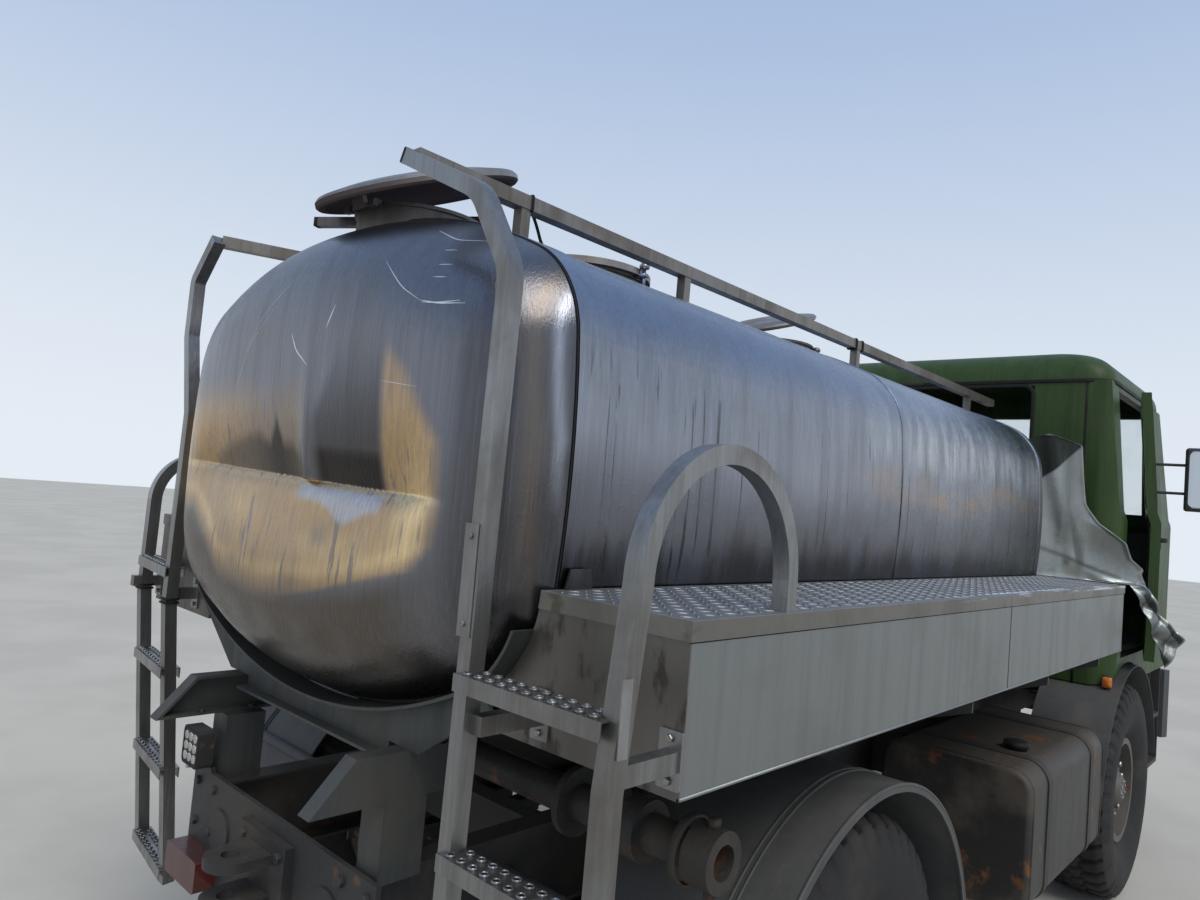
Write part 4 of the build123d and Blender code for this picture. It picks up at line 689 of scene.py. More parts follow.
def dent_depth(y, z):
    """How far the head is pushed in: it deepens down to a sharp ridge line, comes back quickly below it and
    fades out; an upright ridge splits the pocket, and shallow waves cover the rest."""
    above = above_ridge(y, z)
    window = smooth_step(-y, -dent_edges["left"][0], -dent_edges["left"][1])
    window = window * (1 - smooth_step(-y, -dent_edges["right"][1], -dent_edges["right"][0]))
    upper = np.exp(-np.clip(above, 0, None) / 0.13) * (1 - smooth_step(above, 0.28, 0.42))
    lower = 0.55 * np.exp(np.clip(above, None, 0) / 0.03) + 0.45 * (1 - smooth_step(-above, 0.05, 0.30))
    split = 1 - 0.45 * bell(y, -0.15, 0.035) * (above > 0)
    pocket = np.where(above > 0, upper * split, lower)
    waves = (2 + np.sin(11 * y + 3 * z) + np.sin(7 * z - 5 * y + 1)) * 0.0009
    dimples = 0.0022 * bell(z, 1.60, 0.09) * (1 + np.sin(34 * y)) * (1 + np.sin(41 * z)) / 2
    return dent_deepest * window * pocket + waves + dimples


# Outline of the golden painted reflection round the dent, as (height, y) down its right side and (y, height)
# along its foot
sheen_side = [(1.66, -0.10), (1.695, -0.26), (1.783, -0.60), (1.846, -0.654), (1.912, -0.667),
              (2.073, -0.655), (2.137, -0.606), (2.237, -0.54), (2.36, -0.40)]
sheen_foot = [(-0.60, 1.783), (-0.44, 1.729), (-0.256, 1.695), (0.03, 1.674), (0.284, 1.694),
              (0.39, 1.78), (0.52, 1.86)]
# Upper outline of the painted shade in the dent's pocket left of the middle, as (y, height)
left_hollow_top = [(-0.18, 1.972), (-0.07, 2.06), (-0.02, 2.06), (0.012, 2.125), (0.06, 2.06),
                   (0.13, 2.086), (0.29, 2.064), (0.47, 2.01)]
# Grey spots in the sheen: strength, then the middle and the width across and up
mottle_spots = [(1.0, (-0.252, 0.045), (1.831, 0.035)), (0.7, (0.184, 0.04), (1.725, 0.025)),
                (0.6, (-0.15, 0.05), (1.708, 0.02)), (0.35, (0.06, 0.09), (1.90, 0.04))]
# Scratches: half the width at the middle, then points as (y, height)
head_scratches = [
    (0.0022, [(-0.234, 2.402), (-0.222, 2.37), (-0.210, 2.344)]),
    (0.0022, [(-0.036, 2.340), (-0.070, 2.293), (-0.138, 2.252)]),
    (0.0012, [(-0.530, 2.525), (-0.562, 2.525)]),
    (0.0012, [(-0.555, 2.480), (-0.592, 2.479)]),
    (0.0012, [(-0.562, 2.446), (-0.600, 2.444)]),
    (0.0018, [(-0.560, 2.383), (-0.61, 2.380), (-0.656, 2.385)]),
    (0.0011, [(-0.377, 2.505), (-0.478, 2.426), (-0.554, 2.388)]),
    (0.0018, [(-0.554, 2.388), (-0.61, 2.378), (-0.670, 2.379)]),
    (0.0012, [(-0.426, 2.604), (-0.524, 2.561), (-0.590, 2.560)]),
    (0.0007, [(0.10, 2.42), (0.22, 2.32), (0.29, 2.18)]),
    (0.0007, [(0.02, 2.50), (0.15, 2.41), (0.26, 2.28)]),
    (0.0008, [(-0.46, 2.205), (-0.58, 2.19)]),
]


def bell(value, middle, width):
    """1 at the middle, and exp(-((value - middle) / width)^2) to either side of it."""
    return np.exp(-(((value - middle) / width) ** 2))


def patch(y, z, strength, across, up):
    """Soft round patch on the head; across and up are each a middle and a width."""
    return strength * bell(y, *across) * bell(z, *up)


def through(points, value):
    """Straight lines through the points, read at a value."""
    points = np.array(points)
    return np.interp(value, points[:, 0], points[:, 1])


def head_attributes(y, z):
    """Masks of the head's marks: a painted golden reflection round the dent with painted highlights in it,
    painted shade in the pockets over the ridge, a grey painted glint below it with a painted highlight line
    by the rim, brown below the reflection, and painted shade towards the right and at the foot."""
    above = above_ridge(y, z)
    low, high = (above < 0) * 1.0, (above >= 0) * 1.0

    # Painted reflection of a low sun: a golden sheet below the ridge, a column at the right above it and a
    # wing at the left above it
    side = smooth_step(y, through(sheen_side, z) - 0.025, through(sheen_side, z) + 0.045)
    foot_gap = z - through(sheen_foot, y)
    foot = smooth_step(foot_gap, -0.045, 0.03)
    patches = 0.5 + 0.25 * np.sin(9 * y + 14 * z) + 0.25 * np.sin(17 * y - 8 * z + 2)
    sheet = low * side * foot * (0.66 + 0.14 * patches)
    column = high * side * smooth_step(-y, 0.45, 0.485)
    column = column * (1 - smooth_step(z, 2.22, 2.36)) * (0.85 - 0.3 * smooth_step(z, 2.05, 2.25))
    wing = high * smooth_step(y, -0.16, -0.08) * (1 - smooth_step(z, 2.08, 2.26))
    wing = wing * (0.35 + 0.5 * smooth_step(y, 0.05, 0.4))
    straw_reflection = sheet + column + wing

    # Painted highlights: a bright patch at the right of the reflection, lines just under the ridge and along
    # its foot, and two soft patches
    pale_highlight = 0.95 * bell(y, -0.59, 0.06) * bell(z, 1.92, 0.12) * side
    pale_highlight = pale_highlight + 0.55 * bell(above, -0.008, 0.010) * side + 0.45 * low * side * bell(foot_gap, 0.045, 0.022)
    pale_highlight = pale_highlight + patch(y, z, 0.45, (-0.30, 0.16), (1.80, 0.05))
    pale_highlight = pale_highlight + patch(y, z, 0.35, (0.18, 0.12), (1.88, 0.05))
    mottle = sum(patch(y, z, *spot) for spot in mottle_spots)

    # Painted shade in the dent's pockets over the ridge: darkest just above it, a haze higher up, and a wedge
    # left of the middle
    spread = 0.5 * np.clip(z - 2.12, 0, None)
    inside = smooth_step(-y, 0.165 + spread, 0.215 + spread)
    inside = inside * (1 - smooth_step(-y - 0.1 * np.clip(z - 2.2, 0, None), 0.445, 0.48))
    deep = 0.98 * (1 - smooth_step(above, 0.06, 0.13))
    haze = 0.52 * (1 - smooth_step(z, 2.12, 2.37))
    wedge_top = through(left_hollow_top, y)
    wedge = 1 - smooth_step(z, wedge_top - 0.035, wedge_top + 0.018)
    wedge = wedge * (1 - smooth_step(y, 0.38, 0.50)) * smooth_step(y, -0.185, -0.12)
    wedge = wedge * (0.62 + 0.34 * bell(y, 0.02, 0.09))
    hollow = high * np.clip(inside * np.maximum(deep, haze) + wedge, 0, 1)

    # Painted reflection: a grey glint below the ridge, and a painted highlight line by the rim
    tongue = 0.042 * bell(y, -0.34, 0.07)
    glint = smooth_step(-y, 0.08, 0.15) * (1 - smooth_step(-y, 0.455, 0.49)) * (above < -0.014)
    glint = glint * (1 - smooth_step(-above, 0.038 + tongue, 0.062 + tongue))
    rim_y = -0.845 + 0.09 * np.clip(z - 2.10, 0, None)
    rim_highlight = bell(y, rim_y, 0.007) * smooth_step(z, 1.90, 2.08) * (1 - smooth_step(z, 2.38, 2.48))
    rim = bell(y, rim_y + 0.030, 0.014) * smooth_step(z, 1.6, 1.9) * (1 - smooth_step(z, 2.45, 2.6)) * 0.7

    brown = (1 - smooth_step(foot_gap, -0.05, 0.02)) * smooth_step(y, -0.72, -0.45)
    brown = brown * smooth_step(z, 1.36, 1.62)
    shade = smooth_step(-y, 0.64, 0.74) * (1 - 0.75 * smooth_step(z, 2.25, 2.60)) * 0.80
    shade = shade + (1 - smooth_step(z, 1.42, 1.72)) * 0.55
    masks = {"straw_reflection": straw_reflection, "pale_highlight": pale_highlight, "mottle": mottle, "hollow": hollow,
             "glint": glint + 0.8 * rim_highlight, "brown": brown, "shade": shade, "rim": rim}
    return {label: np.clip(mask, 0, 1) for label, mask in masks.items()}


def head_curve(size):
    """How far the head stands out of the shell where the tank's section is shrunk to a size."""
    return (head_depth - head_crown) * (1 - size**head_power) + head_crown * (1 - size**2)


def head_x(y, z):
    """Place along the vehicle of the dented head's surface over a point of the section."""
    section = tank_section(per_arc=60) - (0, tank_middle)
    angle = np.arctan2(section[:, 1], section[:, 0])
    order = np.argsort(angle)
    reach = np.interp(np.arctan2(z - tank_middle, y), angle[order], np.hypot(*section.T)[order])
    rise = head_curve(np.hypot(y, z - tank_middle) / reach)
    return shell_rear - rise + dent_depth(y, z) * smooth_step(rise, 0.02, 0.10)


def make_rear_head(rings=185):
    """Head surface: the tank's section shrunk ring by ring to a point, each ring set out by the head's
    curve and in by the dents."""
    section = tank_section(per_arc=38) - (0, tank_middle)
    size = 1 - 0.99 * np.linspace(0, 1, rings) ** 1.35
    rise = head_curve(size)
    y = size[:, None] * section[None, :, 0]
    z = tank_middle + size[:, None] * section[None, :, 1]
    x = shell_rear - rise[:, None] + dent_depth(y, z) * smooth_step(rise, 0.02, 0.10)[:, None]
    surface = panel(np.stack([x, y, z], -1), wrap=(False, True), caps=True)
    made = piece("rear_head_dented", [surface], "head_steel_shaded", replaces=["tank_rear_head"])
    place = np.zeros(len(made.data.vertices) * 3)
    made.data.vertices.foreach_get("co", place)
    place = place.reshape(-1, 3)
    add_masks(made, head_attributes(place[:, 1], place[:, 2]))


def add_masks(made, masks):
    """Stores a value for each vertex under each label."""
    for label, values in masks.items():
        made.data.attributes.new(label, "FLOAT", "POINT").data.foreach_set("value", values.astype(np.float32))


def make_head_scratches():
    """Thin bright scratches on the head, each a fine raised line that follows the surface and tapers."""
    height, steps, smoothing = 0.0005, 26, 3
    window = 2 * smoothing + 1
    parts = []
    for width, points in head_scratches:
        points = np.array(points)
        share = np.linspace(0, 1, steps)
        knots = np.linspace(0, 1, len(points))
        rows = [np.interp(share, knots, points[:, axis]) for axis in (0, 1)]
        padded = [np.pad(row, smoothing, mode="reflect", reflect_type="odd") for row in rows]
        y, z = (np.convolve(row, np.ones(window) / window, "valid") for row in padded)
        taper = (0.25 + 0.75 * np.sin(math.pi * share))[:, None, None]
        ring = disc(1.0, 6)[None] * taper * (width, height)
        way = np.stack([np.gradient(y), np.gradient(z)], -1)
        way = way / np.linalg.norm(way, axis=1)[:, None]
        ring_y = y[:, None] - way[:, 1:] * ring[..., 0]
        ring_z = z[:, None] + way[:, :1] * ring[..., 0]
        surface = np.stack([head_x(ring_y, ring_z) - ring[..., 1], ring_y, ring_z], -1)
        parts.append(panel(surface, wrap=(False, True), caps=True))
    piece("head_scratches", parts, "bright_scratch")


def ring_path(x, grow):
    """Tank section as a closed path across the vehicle at x."""
    return at_x(tank_section(grow), x)


def make_tank_seams():
    """A black seal in the gap behind the rear head, and low weld beads beside the bands."""
    seal = ring_path(shell_rear + seam_gap / 2, 0.001)
    ring = carried(seal, pad(0.0056, 0.004, 0.001, 2), up=(1, 0, 0), closed=True)
    piece("rear_seam_seal", [ring], "rubber")
    beads = [carried(ring_path(x, 0.0005), disc(0.0028, 6), up=(1, 0, 0), closed=True)
             for x in (shell_rear + seam_gap + band_width + 0.001, mid_seam_x - 0.002, shell_front - 0.042)]
    piece("seam_weld_beads", beads, "band_steel")


# Walkways
def lozenge(length, width, height):
    """Part: a raised tread mark, a lens outline on the plate drawn in to a ridge on top."""
    turn = np.arange(10) * 2 * math.pi / 10
    foot = np.stack([length / 2 * np.cos(turn), width / 2 * np.sin(turn), np.full(10, -0.0005)], -1)
    crest = foot * (0.8, 0.45, 0) + (0, 0, height)
    return panel(np.stack([foot, crest]), wrap=(False, True), caps=True)


def make_deck_marks():
    """Tread marks on both decks: rows of lens shapes, turned one way and the other by turns."""
    pitch, margin = 0.036, 0.024
    top = deck_high.z
    for hand, side in sides.items():
        along = np.arange(deck_low.x + margin, deck_high.x - margin, pitch)
        out = np.arange(half_width + 0.035, deck_high.y - margin, pitch)
        grid = np.stack(np.meshgrid(along, out, indexing="ij"), -1).reshape(-1, 2)
        row, column = np.meshgrid(np.arange(len(along)), np.arange(len(out)), indexing="ij")
        angle = np.where((row + column).ravel() % 2 == 0, math.pi / 4, -math.pi / 4)
        turns = np.zeros((len(grid), 3, 3))
        turns[:, 0, 0] = turns[:, 1, 1] = np.cos(angle)
        turns[:, 0, 1], turns[:, 1, 0], turns[:, 2, 2] = -np.sin(angle), np.sin(angle), 1
        places = np.column_stack([grid[:, 0], side * grid[:, 1], np.full(len(grid), top)])
        piece(f"deck_tread_{hand}", [copies(lozenge(0.030, 0.010, 0.0022), places, turns)], "deck_plate")


def make_locker_trim():
    """Panel seams on the lockers' outer faces, a strip of painted shadow under the deck's trim and a rolled
    edge at the foot.
    """
    seam_x, face_y, seam_depth = -0.962, locker_high.y, 0.0016
    trim_foot = deck_high.z - trim_height
    rear, front = deck_low.x + 0.004, deck_high.x - 0.004
    trim_shadow_z, edge_z = trim_foot - 0.0015, locker_low.z + 0.003
    seams, edges = [], []
    for side in sides.values():
        y = side * face_y
        upright = [(seam_x, y, locker_low.z + 0.004), (seam_x, y, trim_foot)]
        seams.append(carried(upright, pad(0.004, seam_depth, 0.0005, 2), up=(0, side, 0)))
        edge_y = side * (face_y - 0.001)
        edges.append(carried([(rear, edge_y, edge_z), (front, edge_y, edge_z)], disc(0.0038, 8)))
        # Painted shadow: a dark strip along the foot of the trim
        gap = [(rear, y, trim_shadow_z), (front, y, trim_shadow_z)]
        seams.append(carried(gap, pad(0.0036, seam_depth, 0.0005, 2), up=(0, side, 0)))
    piece("locker_seams_and_trim_shadow", seams, "rubber")
    piece("locker_rolled_edges", edges, "satin_steel")


def make_lug_plate():
    """Small lifting plate that stands on the right deck against the band's foot."""
    rear, foot, top = shell_rear + 0.012, deck_high.z - 0.002, deck_high.z + 0.045
    outline = np.array([(rear, foot), (rear + 0.085, foot), (rear + 0.075, top), (rear + 0.012, top)])
    inner_y, thickness = -(half_width + 0.003), 0.006
    skins = [np.column_stack([outline[:, 0], np.full(len(outline), y), outline[:, 1]])
             for y in (inner_y, inner_y - thickness)]
    plate = panel(np.stack(skins), wrap=(False, True), caps=True)
    piece("deck_lug_plate", [plate], "band_steel", smooth=False)


# Ladders
rung_top, rung_pitch, rung_count = 1.620, 0.341, 4
stile_inner, stile_outer = 0.840, 1.228
ladder_x = {"right": -2.970, "left": -2.893}
ladder_shift, foot_lean, lean_top, stile_foot = 0.045, 0.097, 1.500, 0.545


def make_rung_collars():
    """Rows of raised round collars on every rung, each a short flared tube round a black disc of painted
    shade.
    """
    wall = [(0.0105, -0.0005), (0.0095, 0.0055), (0.0072, 0.0055), (0.0065, -0.0005)]
    collar = turned(wall, (0, 0, 0), (0, 0, 1), 12, closed=True)
    # Painted shade: a black disc in each collar's opening
    hole_shadow = turned([(0.0066, -0.0002), (0.0066, 0.0006)], (0, 0, 0), (0, 0, 1), 12)
    per_row, row_half_gap = 11, 0.017
    spaces = per_row + 0.6
    for hand, side in sides.items():
        lean, shift = (0, 0) if hand == "right" else (foot_lean, ladder_shift)
        places = []
        for rung in range(rung_count):
            z = rung_top - rung * rung_pitch
            ahead = lean * max(0, lean_top - z) / (lean_top - stile_foot)
            for edge, stagger in ((-row_half_gap, 0.0), (row_half_gap, 0.5)):
                along = (np.arange(per_row) + 0.8) / spaces + stagger / spaces
                along = along[along < 0.955]
                x = ladder_x[hand] + ahead + edge + shift * along
                y = side * (stile_inner + along * (stile_outer - stile_inner))
                places.append(np.column_stack([x, y, np.full(len(along), z)]))
        places = np.concatenate(places)
        piece(f"rung_collars_{hand}", [copies(collar, places)], "ladder_steel")
        piece(f"rung_hole_shadows_{hand}", [copies(hole_shadow, places)], "rubber")


def make_tube_plugs():
    """Black plastic plugs in the open tube ends: the right stile's top and the prop bar."""
    plug = pad(0.040, 0.040, 0.004, 3)
    stile_end, stile_way = np.array([ladder_x["right"], -0.457, 2.737]), np.array([0.0, 0.903, 0.430])
    bar_end, bar_way = np.array([-2.771, 0.335, 2.772]), np.array([0.47, -0.883, 0.0])
    stile_path = [stile_end - 0.002 * stile_way, stile_end + 0.006 * stile_way]
    bar_path = [bar_end + 0.001 * bar_way, bar_end - 0.012 * bar_way]
    piece("tube_plugs", [carried(stile_path, plug * 0.98, up=(1, 0, 0)), carried(bar_path, plug * 0.74)],
          "rubber")


def make_stile_details():
    """On the right ladder a splice angle screwed to the inner stile and a plate on the outer one, and clamp
    collars on the left ladder's stiles."""
    x, y = ladder_x["right"] - tube / 2 - 0.003, -stile_inner - 0.014
    low, high = 1.69, 1.91
    leg = carried([(x + 0.001, y + 0.008, low), (x + 0.001, y + 0.010, high)], pad(0.040, 0.006, 0.002, 3),
                  up=(-1, 0, 0))
    flap = carried([(x + 0.024, y - 0.014, low), (x + 0.024, y - 0.012, high)], pad(0.044, 0.006, 0.002, 3),
                   up=(0, -1, 0))
    piece("splice_angle", [leg, flap], "ladder_steel", smooth=False)
    plate_x, plate_y = ladder_x["right"] + 0.004, -stile_outer - tube / 2 - 0.002
    plate = carried([(plate_x, plate_y, 1.560), (plate_x, plate_y, 1.690)], pad(0.024, 0.005, 0.001, 2),
                    up=(0, -1, 0))
    piece("stile_outer_plate", [plate], "splice_steel", smooth=False)
    heads = bolts((0.007, 0.005), [(x - 0.001, y + 0.009, z) for z in (1.715, 1.885)], (-1, 0, 0))
    piece("splice_bolts", [heads], "bright_bolt", smooth=False)
    ring = pad(tube + 0.008, tube + 0.008, 0.006, 3)
    collars = []
    for stile_y, shift in ((stile_inner + 0.022, 0.0), (stile_outer, ladder_shift)):
        for z in (lean_top, lean_top + 0.012):
            loop = np.column_stack([ring + (ladder_x["left"] + shift, stile_y), np.full(len(ring), z)])
            collars.append(carried(loop, disc(0.004, 6), closed=True))
    piece("stile_collars_left", collars, "rubber")


def make_foot_plates():
    """Bolted plates that tie the ladder brackets to the lockers' rear faces."""
    profile, thickness = pad(0.052, 0.105, 0.004, 3), 0.006
    plates, heads = [], []
    for side in sides.values():
        for y in (0.885, 1.222):
            front = np.array([locker_low.x + 0.001, side * y, locker_low.z + 0.07])
            rear = front - (thickness, 0, 0)
            plates.append(carried([front, rear], profile))
            heads += [rear + (0.0, 0.0, level) for level in (-0.038, 0.038)]
    piece("ladder_foot_plates", plates, "ladder_steel", smooth=False)
    piece("ladder_foot_bolts", [bolts((0.008, 0.007), heads, (-1, 0, 0))], "bright_bolt", smooth=False)


# Cable and clamps
cable_route = [(-2.590, -0.432, 2.752), (-2.555, -0.425, 2.748), (-2.515, -0.410, 2.715),
               (-2.480, -0.395, 2.677), (-2.420, -0.360, 2.681), (-2.340, -0.300, 2.692),
               (-2.260, -0.215, 2.706), (-2.190, -0.140, 2.715), (-2.155, -0.085, 2.735)]


def make_rail_cable():
    """Black cable tied to the right rail's first post: it drops to the crown and runs to the second
    hatch."""
    diameter = 0.009
    curve = smooth_curve("rail_cable", cable_route)
    length = curve_length(curve)
    curve.bevel_depth = diameter / 2
    curve.bevel_resolution = 3
    curve.resolution_u = 12
    curve.materials.append(looks["rubber"])
    cable = bpy.data.objects.new("rail_cable", curve)
    scene.collection.objects.link(cable)
    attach(cable, "truck")
    rail_y, rail_z = -0.447, 2.749
    loop = pad(tube + 0.006, tube + 0.006, 0.006, 6) + (rail_y, rail_z)
    ties = [carried(at_x(loop, x), disc(0.0035, 6), up=(1, 0, 0), closed=True)
            for x in (-2.588, -0.660, -0.600)]
    piece("cable_ties", ties, "rubber")


def smooth_curve(name, route):
    """Curve data: a line that starts and ends with the route and passes smoothly near its other points."""
    curve = bpy.data.curves.new(name, "CURVE")
    curve.dimensions = "3D"
    spline = curve.splines.new("NURBS")
    spline.points.add(len(route) - 1)
    spline.points.foreach_set("co", np.column_stack([route, np.ones(len(route))]).ravel())
    spline.order_u = 3
    spline.use_endpoint_u = True
    return curve


def curve_length(curve):
    """Length of the line that Blender draws for a curve that has no thickness yet."""
    holder = bpy.data.objects.new("line", curve)
    drawn = bpy.data.meshes.new_from_object(holder)
    points = np.array([vertex.co for vertex in drawn.vertices])
    bpy.data.objects.remove(holder)
    bpy.data.meshes.remove(drawn)
    return float(np.linalg.norm(np.diff(points, axis=0), axis=1).sum())


def make_hatch_clamps():
    """Swing bolts with knobs round the necks of the second and third hatches."""
    hatches = ((-1.916, 0.262, 2.790, (40, 160, 280)), (-0.629, 0.226, 2.758, (-60, 60, 150)))
    knob = [(0.006, 0), (0.017, 0.003), (0.019, 0.012), (0.012, 0.022), (0.004, 0.024)]
    parts, knobs = [], []
    for x, radius, top, angles in hatches:
        for angle in np.radians(angles):
            out = np.array([math.cos(angle), math.sin(angle), 0])
            foot = np.array([x, 0, 0]) + out * radius
            crown = float(tank_top(foot[1])) - 0.002
            parts.append(carried([foot + (0, 0, crown), foot + (0, 0, top)], disc(0.007, 8), up=out))
            lug = foot + (0, 0, top - 0.028)
            parts.append(carried([lug - out * 0.03, lug + out * 0.012], pad(0.030, 0.010, 0.003, 3)))
            knobs.append(turned(knob, foot + (0, 0, top - 0.006), (0, 0, 1), 16))
    piece("hatch_clamps", parts, "band_steel")
    piece("hatch_knobs", knobs, "bright_bolt")


# Wheels
tyre_half_width = 0.1849


def from_groove(phase):
    """How far round a place is from a groove between two blocks: 0 in its middle, 1 in a block's middle."""
    return np.abs(phase % 1 - 0.5) * 2


def tyre_profile():
    """Tyre section as (axial, radius) points from bead to bead: a sidewall arc through three points on each
    side, with shoulders and a crowned tread between them."""
    bead, bulge = np.array([0.130, 0.292]), np.array([0.185, 0.430])
    shoulder = np.array([0.160, tyre_radius - 0.022])
    a, b = bulge - bead, shoulder - bead
    twice_area = 2 * (a[0] * b[1] - a[1] * b[0])
    to_centre = np.array([b[1] * (a @ a) - a[1] * (b @ b), a[0] * (b @ b) - b[0] * (a @ a)]) / twice_area
    centre = bead + to_centre
    radius = np.linalg.norm(bead - centre)
    start, stop = (math.atan2(*(point - centre)[::-1]) for point in (bead, shoulder))
    wall = centre + radius * round_points(np.linspace(start, stop, 18))
    axial = np.linspace(0.156, 0.0, 17)
    drop = 0.018 * smooth_step(axial, 0.13, 0.158) + 0.0012 * (axial / 0.14) ** 2
    tread = np.column_stack([axial, tyre_radius - drop])
    half = np.concatenate([[[0.130, 0.262]], wall, tread])
    return np.concatenate([half, half[::-1][1:] * (-1, 1)])


def make_tyres(count=560, blocks=40):
    """Lugged tyres: the section turned about the axle, cut in by grooves between staggered blocks, with ribs
    at the shoulders and rings on the sidewalls."""
    profile = tyre_profile()
    axial, radius = profile[None, :, 0], profile[None, :, 1]
    off_middle = np.abs(axial)
    turn = even_turn(count)[:, None]
    phase = turn * blocks / (2 * math.pi) + 0.5 * (axial > 0) + 2.2 * off_middle
    cut = 1 - smooth_step(from_groove(phase), 0.28, 0.44)
    inner_cut = 1 - smooth_step(from_groove(phase + 0.3), 0.16, 0.3)
    inner_cut = inner_cut * (off_middle < 0.052) * 0.7
    ring_groove = bell(off_middle, 0.056 + 0.006 * np.sin(turn * blocks), 0.006)
    on_tread = smooth_step(radius, tyre_radius - 0.030, tyre_radius - 0.016)
    shoulder_rib = smooth_step(radius, tyre_radius - 0.095, tyre_radius - 0.06) * (1 - on_tread)
    wide_cut = cut * smooth_step(off_middle, 0.050, 0.062)
    groove = np.clip(np.maximum.reduce([wide_cut, ring_groove * 0.9, inner_cut]), 0, 1)
    ring_bead = 0.0018 * (bell(radius, 0.330, 0.004) + bell(radius, 0.492, 0.004))
    bulge = np.sign(axial) * (ring_bead - 0.006 * cut * shoulder_rib)
    across = np.clip(axial + bulge, -tyre_half_width, tyre_half_width)
    shape_radius = radius - 0.017 * groove * on_tread - 0.002 * cut * shoulder_rib
    for (place, hand), centre in wheel_centres.items():
        x = centre.x + shape_radius * np.cos(turn)
        z = centre.z + shape_radius * np.sin(turn)
        y = np.broadcast_to(centre.y + across, x.shape)
        part = panel(np.stack([x, y, z], -1), wrap=(True, True))
        made = piece(f"lugged_tyre_{place}_{hand}", [part], "tyre_rubber", f"wheel_{place}_{hand}",
                     replaces=[f"tyre_{place}_{hand}"])
        # The groove mask also carries painted shade into the grooves
        add_masks(made, {"groove": (groove * on_tread).ravel()})


def make_wheel_nuts():
    """Ten nuts on each disc and eight bolts on each hub cap, in even circles."""
    circles = ((0.147, 10, 0.094, (0.0165, 0.024)), (0.048, 8, 0.145, (0.008, 0.007)))
    first_turn = 0.3
    for (place, hand), centre in wheel_centres.items():
        side = sides[hand]
        rows = []
        for radius, count, out, size in circles:
            around = radius * round_points(even_turn(count) + first_turn)
            places = np.column_stack([centre.x + around[:, 0], np.full(count, centre.y + side * out),
                                      centre.z + around[:, 1]])
            rows.append(bolts(size, places, (0, side, 0)))
        piece(f"wheel_nuts_{place}_{hand}", rows, "bright_bolt", f"wheel_{place}_{hand}", smooth=False)


def make_fender_beads():
    """Two pressed beads round each rear fender and a rolled outer lip, as arcs above the wheel."""
    radius, steps = tyre_radius + 0.101, 120
    turn = np.radians(np.linspace(-7, 187, steps))
    parts = []
    for hand, side in sides.items():
        centre = wheel_centres["rear", hand]
        for out, thick, grow in ((1.060, 0.0045, 0.0), (1.078, 0.0045, 0.0), (1.211, 0.006, -0.001)):
            arc = (radius + grow) * round_points(turn) + (centre.x, centre.z)
            path = np.column_stack([arc[:, 0], np.full(steps, side * out), arc[:, 1]])
            parts.append(carried(path, disc(thick, 8), up=(0, 1, 0)))
    piece("fender_beads", parts, "fender_grey")


# Cab
cab_rear, cab_half, roof_seam_z = 1.260, 1.130, 2.890
roof_half, waist_z, cab_corner = 1.052, 2.150, 0.13
door_swing = math.radians(10)
hinge = np.array([2.350, -1.144, 0.0])


def cab_side_y(z):
    """Half-width of the cab at a height: upright below the waist, then leaning in to the roof seam."""
    levels = [1.50, waist_z - 0.04, waist_z + 0.02, roof_seam_z]
    return np.interp(z, levels, [cab_half, cab_half, cab_half - 0.02, roof_half])


def rounded_loop(low, high, corner, per_corner=6):
    """Closed rectangle between two (a, b) corners with round corners."""
    low, high = np.array(low), np.array(high)
    return pad(*(high - low), corner, per_corner) + (low + high) / 2


def swung(part, side):
    """The right door stands open by its swing about the hinge line; the left one is shut."""
    if side > 0:
        return part
    turn = Matrix.Translation(hinge) @ Matrix.Rotation(door_swing, 4, "Z") @ Matrix.Translation(-hinge)
    return moved(part, turn)


def make_cab_seals():
    """Rubber round the rear window and the door windows, drip rails under the roof, and corner seams."""
    loop = rounded_loop((-0.655, 2.335), (0.655, 2.867), 0.06)
    seal = carried(at_x(loop, cab_rear - 0.001), pad(0.022, 0.012, 0.004, 3), up=(1, 0, 0), closed=True)
    piece("rear_window_seal", [seal], "rubber")
    loop = rounded_loop((1.545, 2.205), (2.235, 2.785), 0.05)
    for hand, side in sides.items():
        path = np.column_stack([loop[:, 0], side * (cab_side_y(loop[:, 1]) - 0.001), loop[:, 1]])
        seal = carried(path, pad(0.020, 0.010, 0.003, 3), up=(0, 1, 0), closed=True)
        piece(f"door_window_seal_{hand}", [swung(seal, side)], "rubber", f"door_{hand}")
    seam_y, seam_foot, rail_front, steps = 0.935, 1.19, 2.36, 12
    turn = np.radians(np.linspace(0, 90, 10))
    bend = np.column_stack([cab_rear + cab_corner * (1 - np.sin(turn)),
                            roof_half - cab_corner * (1 - np.cos(turn))])
    run = np.concatenate([[[rail_front, roof_half]], bend, [[cab_rear, 0.0]]])
    seams = []
    for side in sides.values():
        upright = [(cab_rear - 0.0005, side * seam_y, z) for z in np.linspace(seam_foot, roof_seam_z, steps)]
        seams.append(carried(upright, pad(0.013, 0.004, 0.001, 2), up=(1, 0, 0)))
        rail = [(x - 0.001, side * (y + 0.001), roof_seam_z) for x, y in run]
        seams.append(carried(rail, pad(0.014, 0.022, 0.003, 3)))
    piece("cab_seams_and_drip_rail", seams, "rubber")


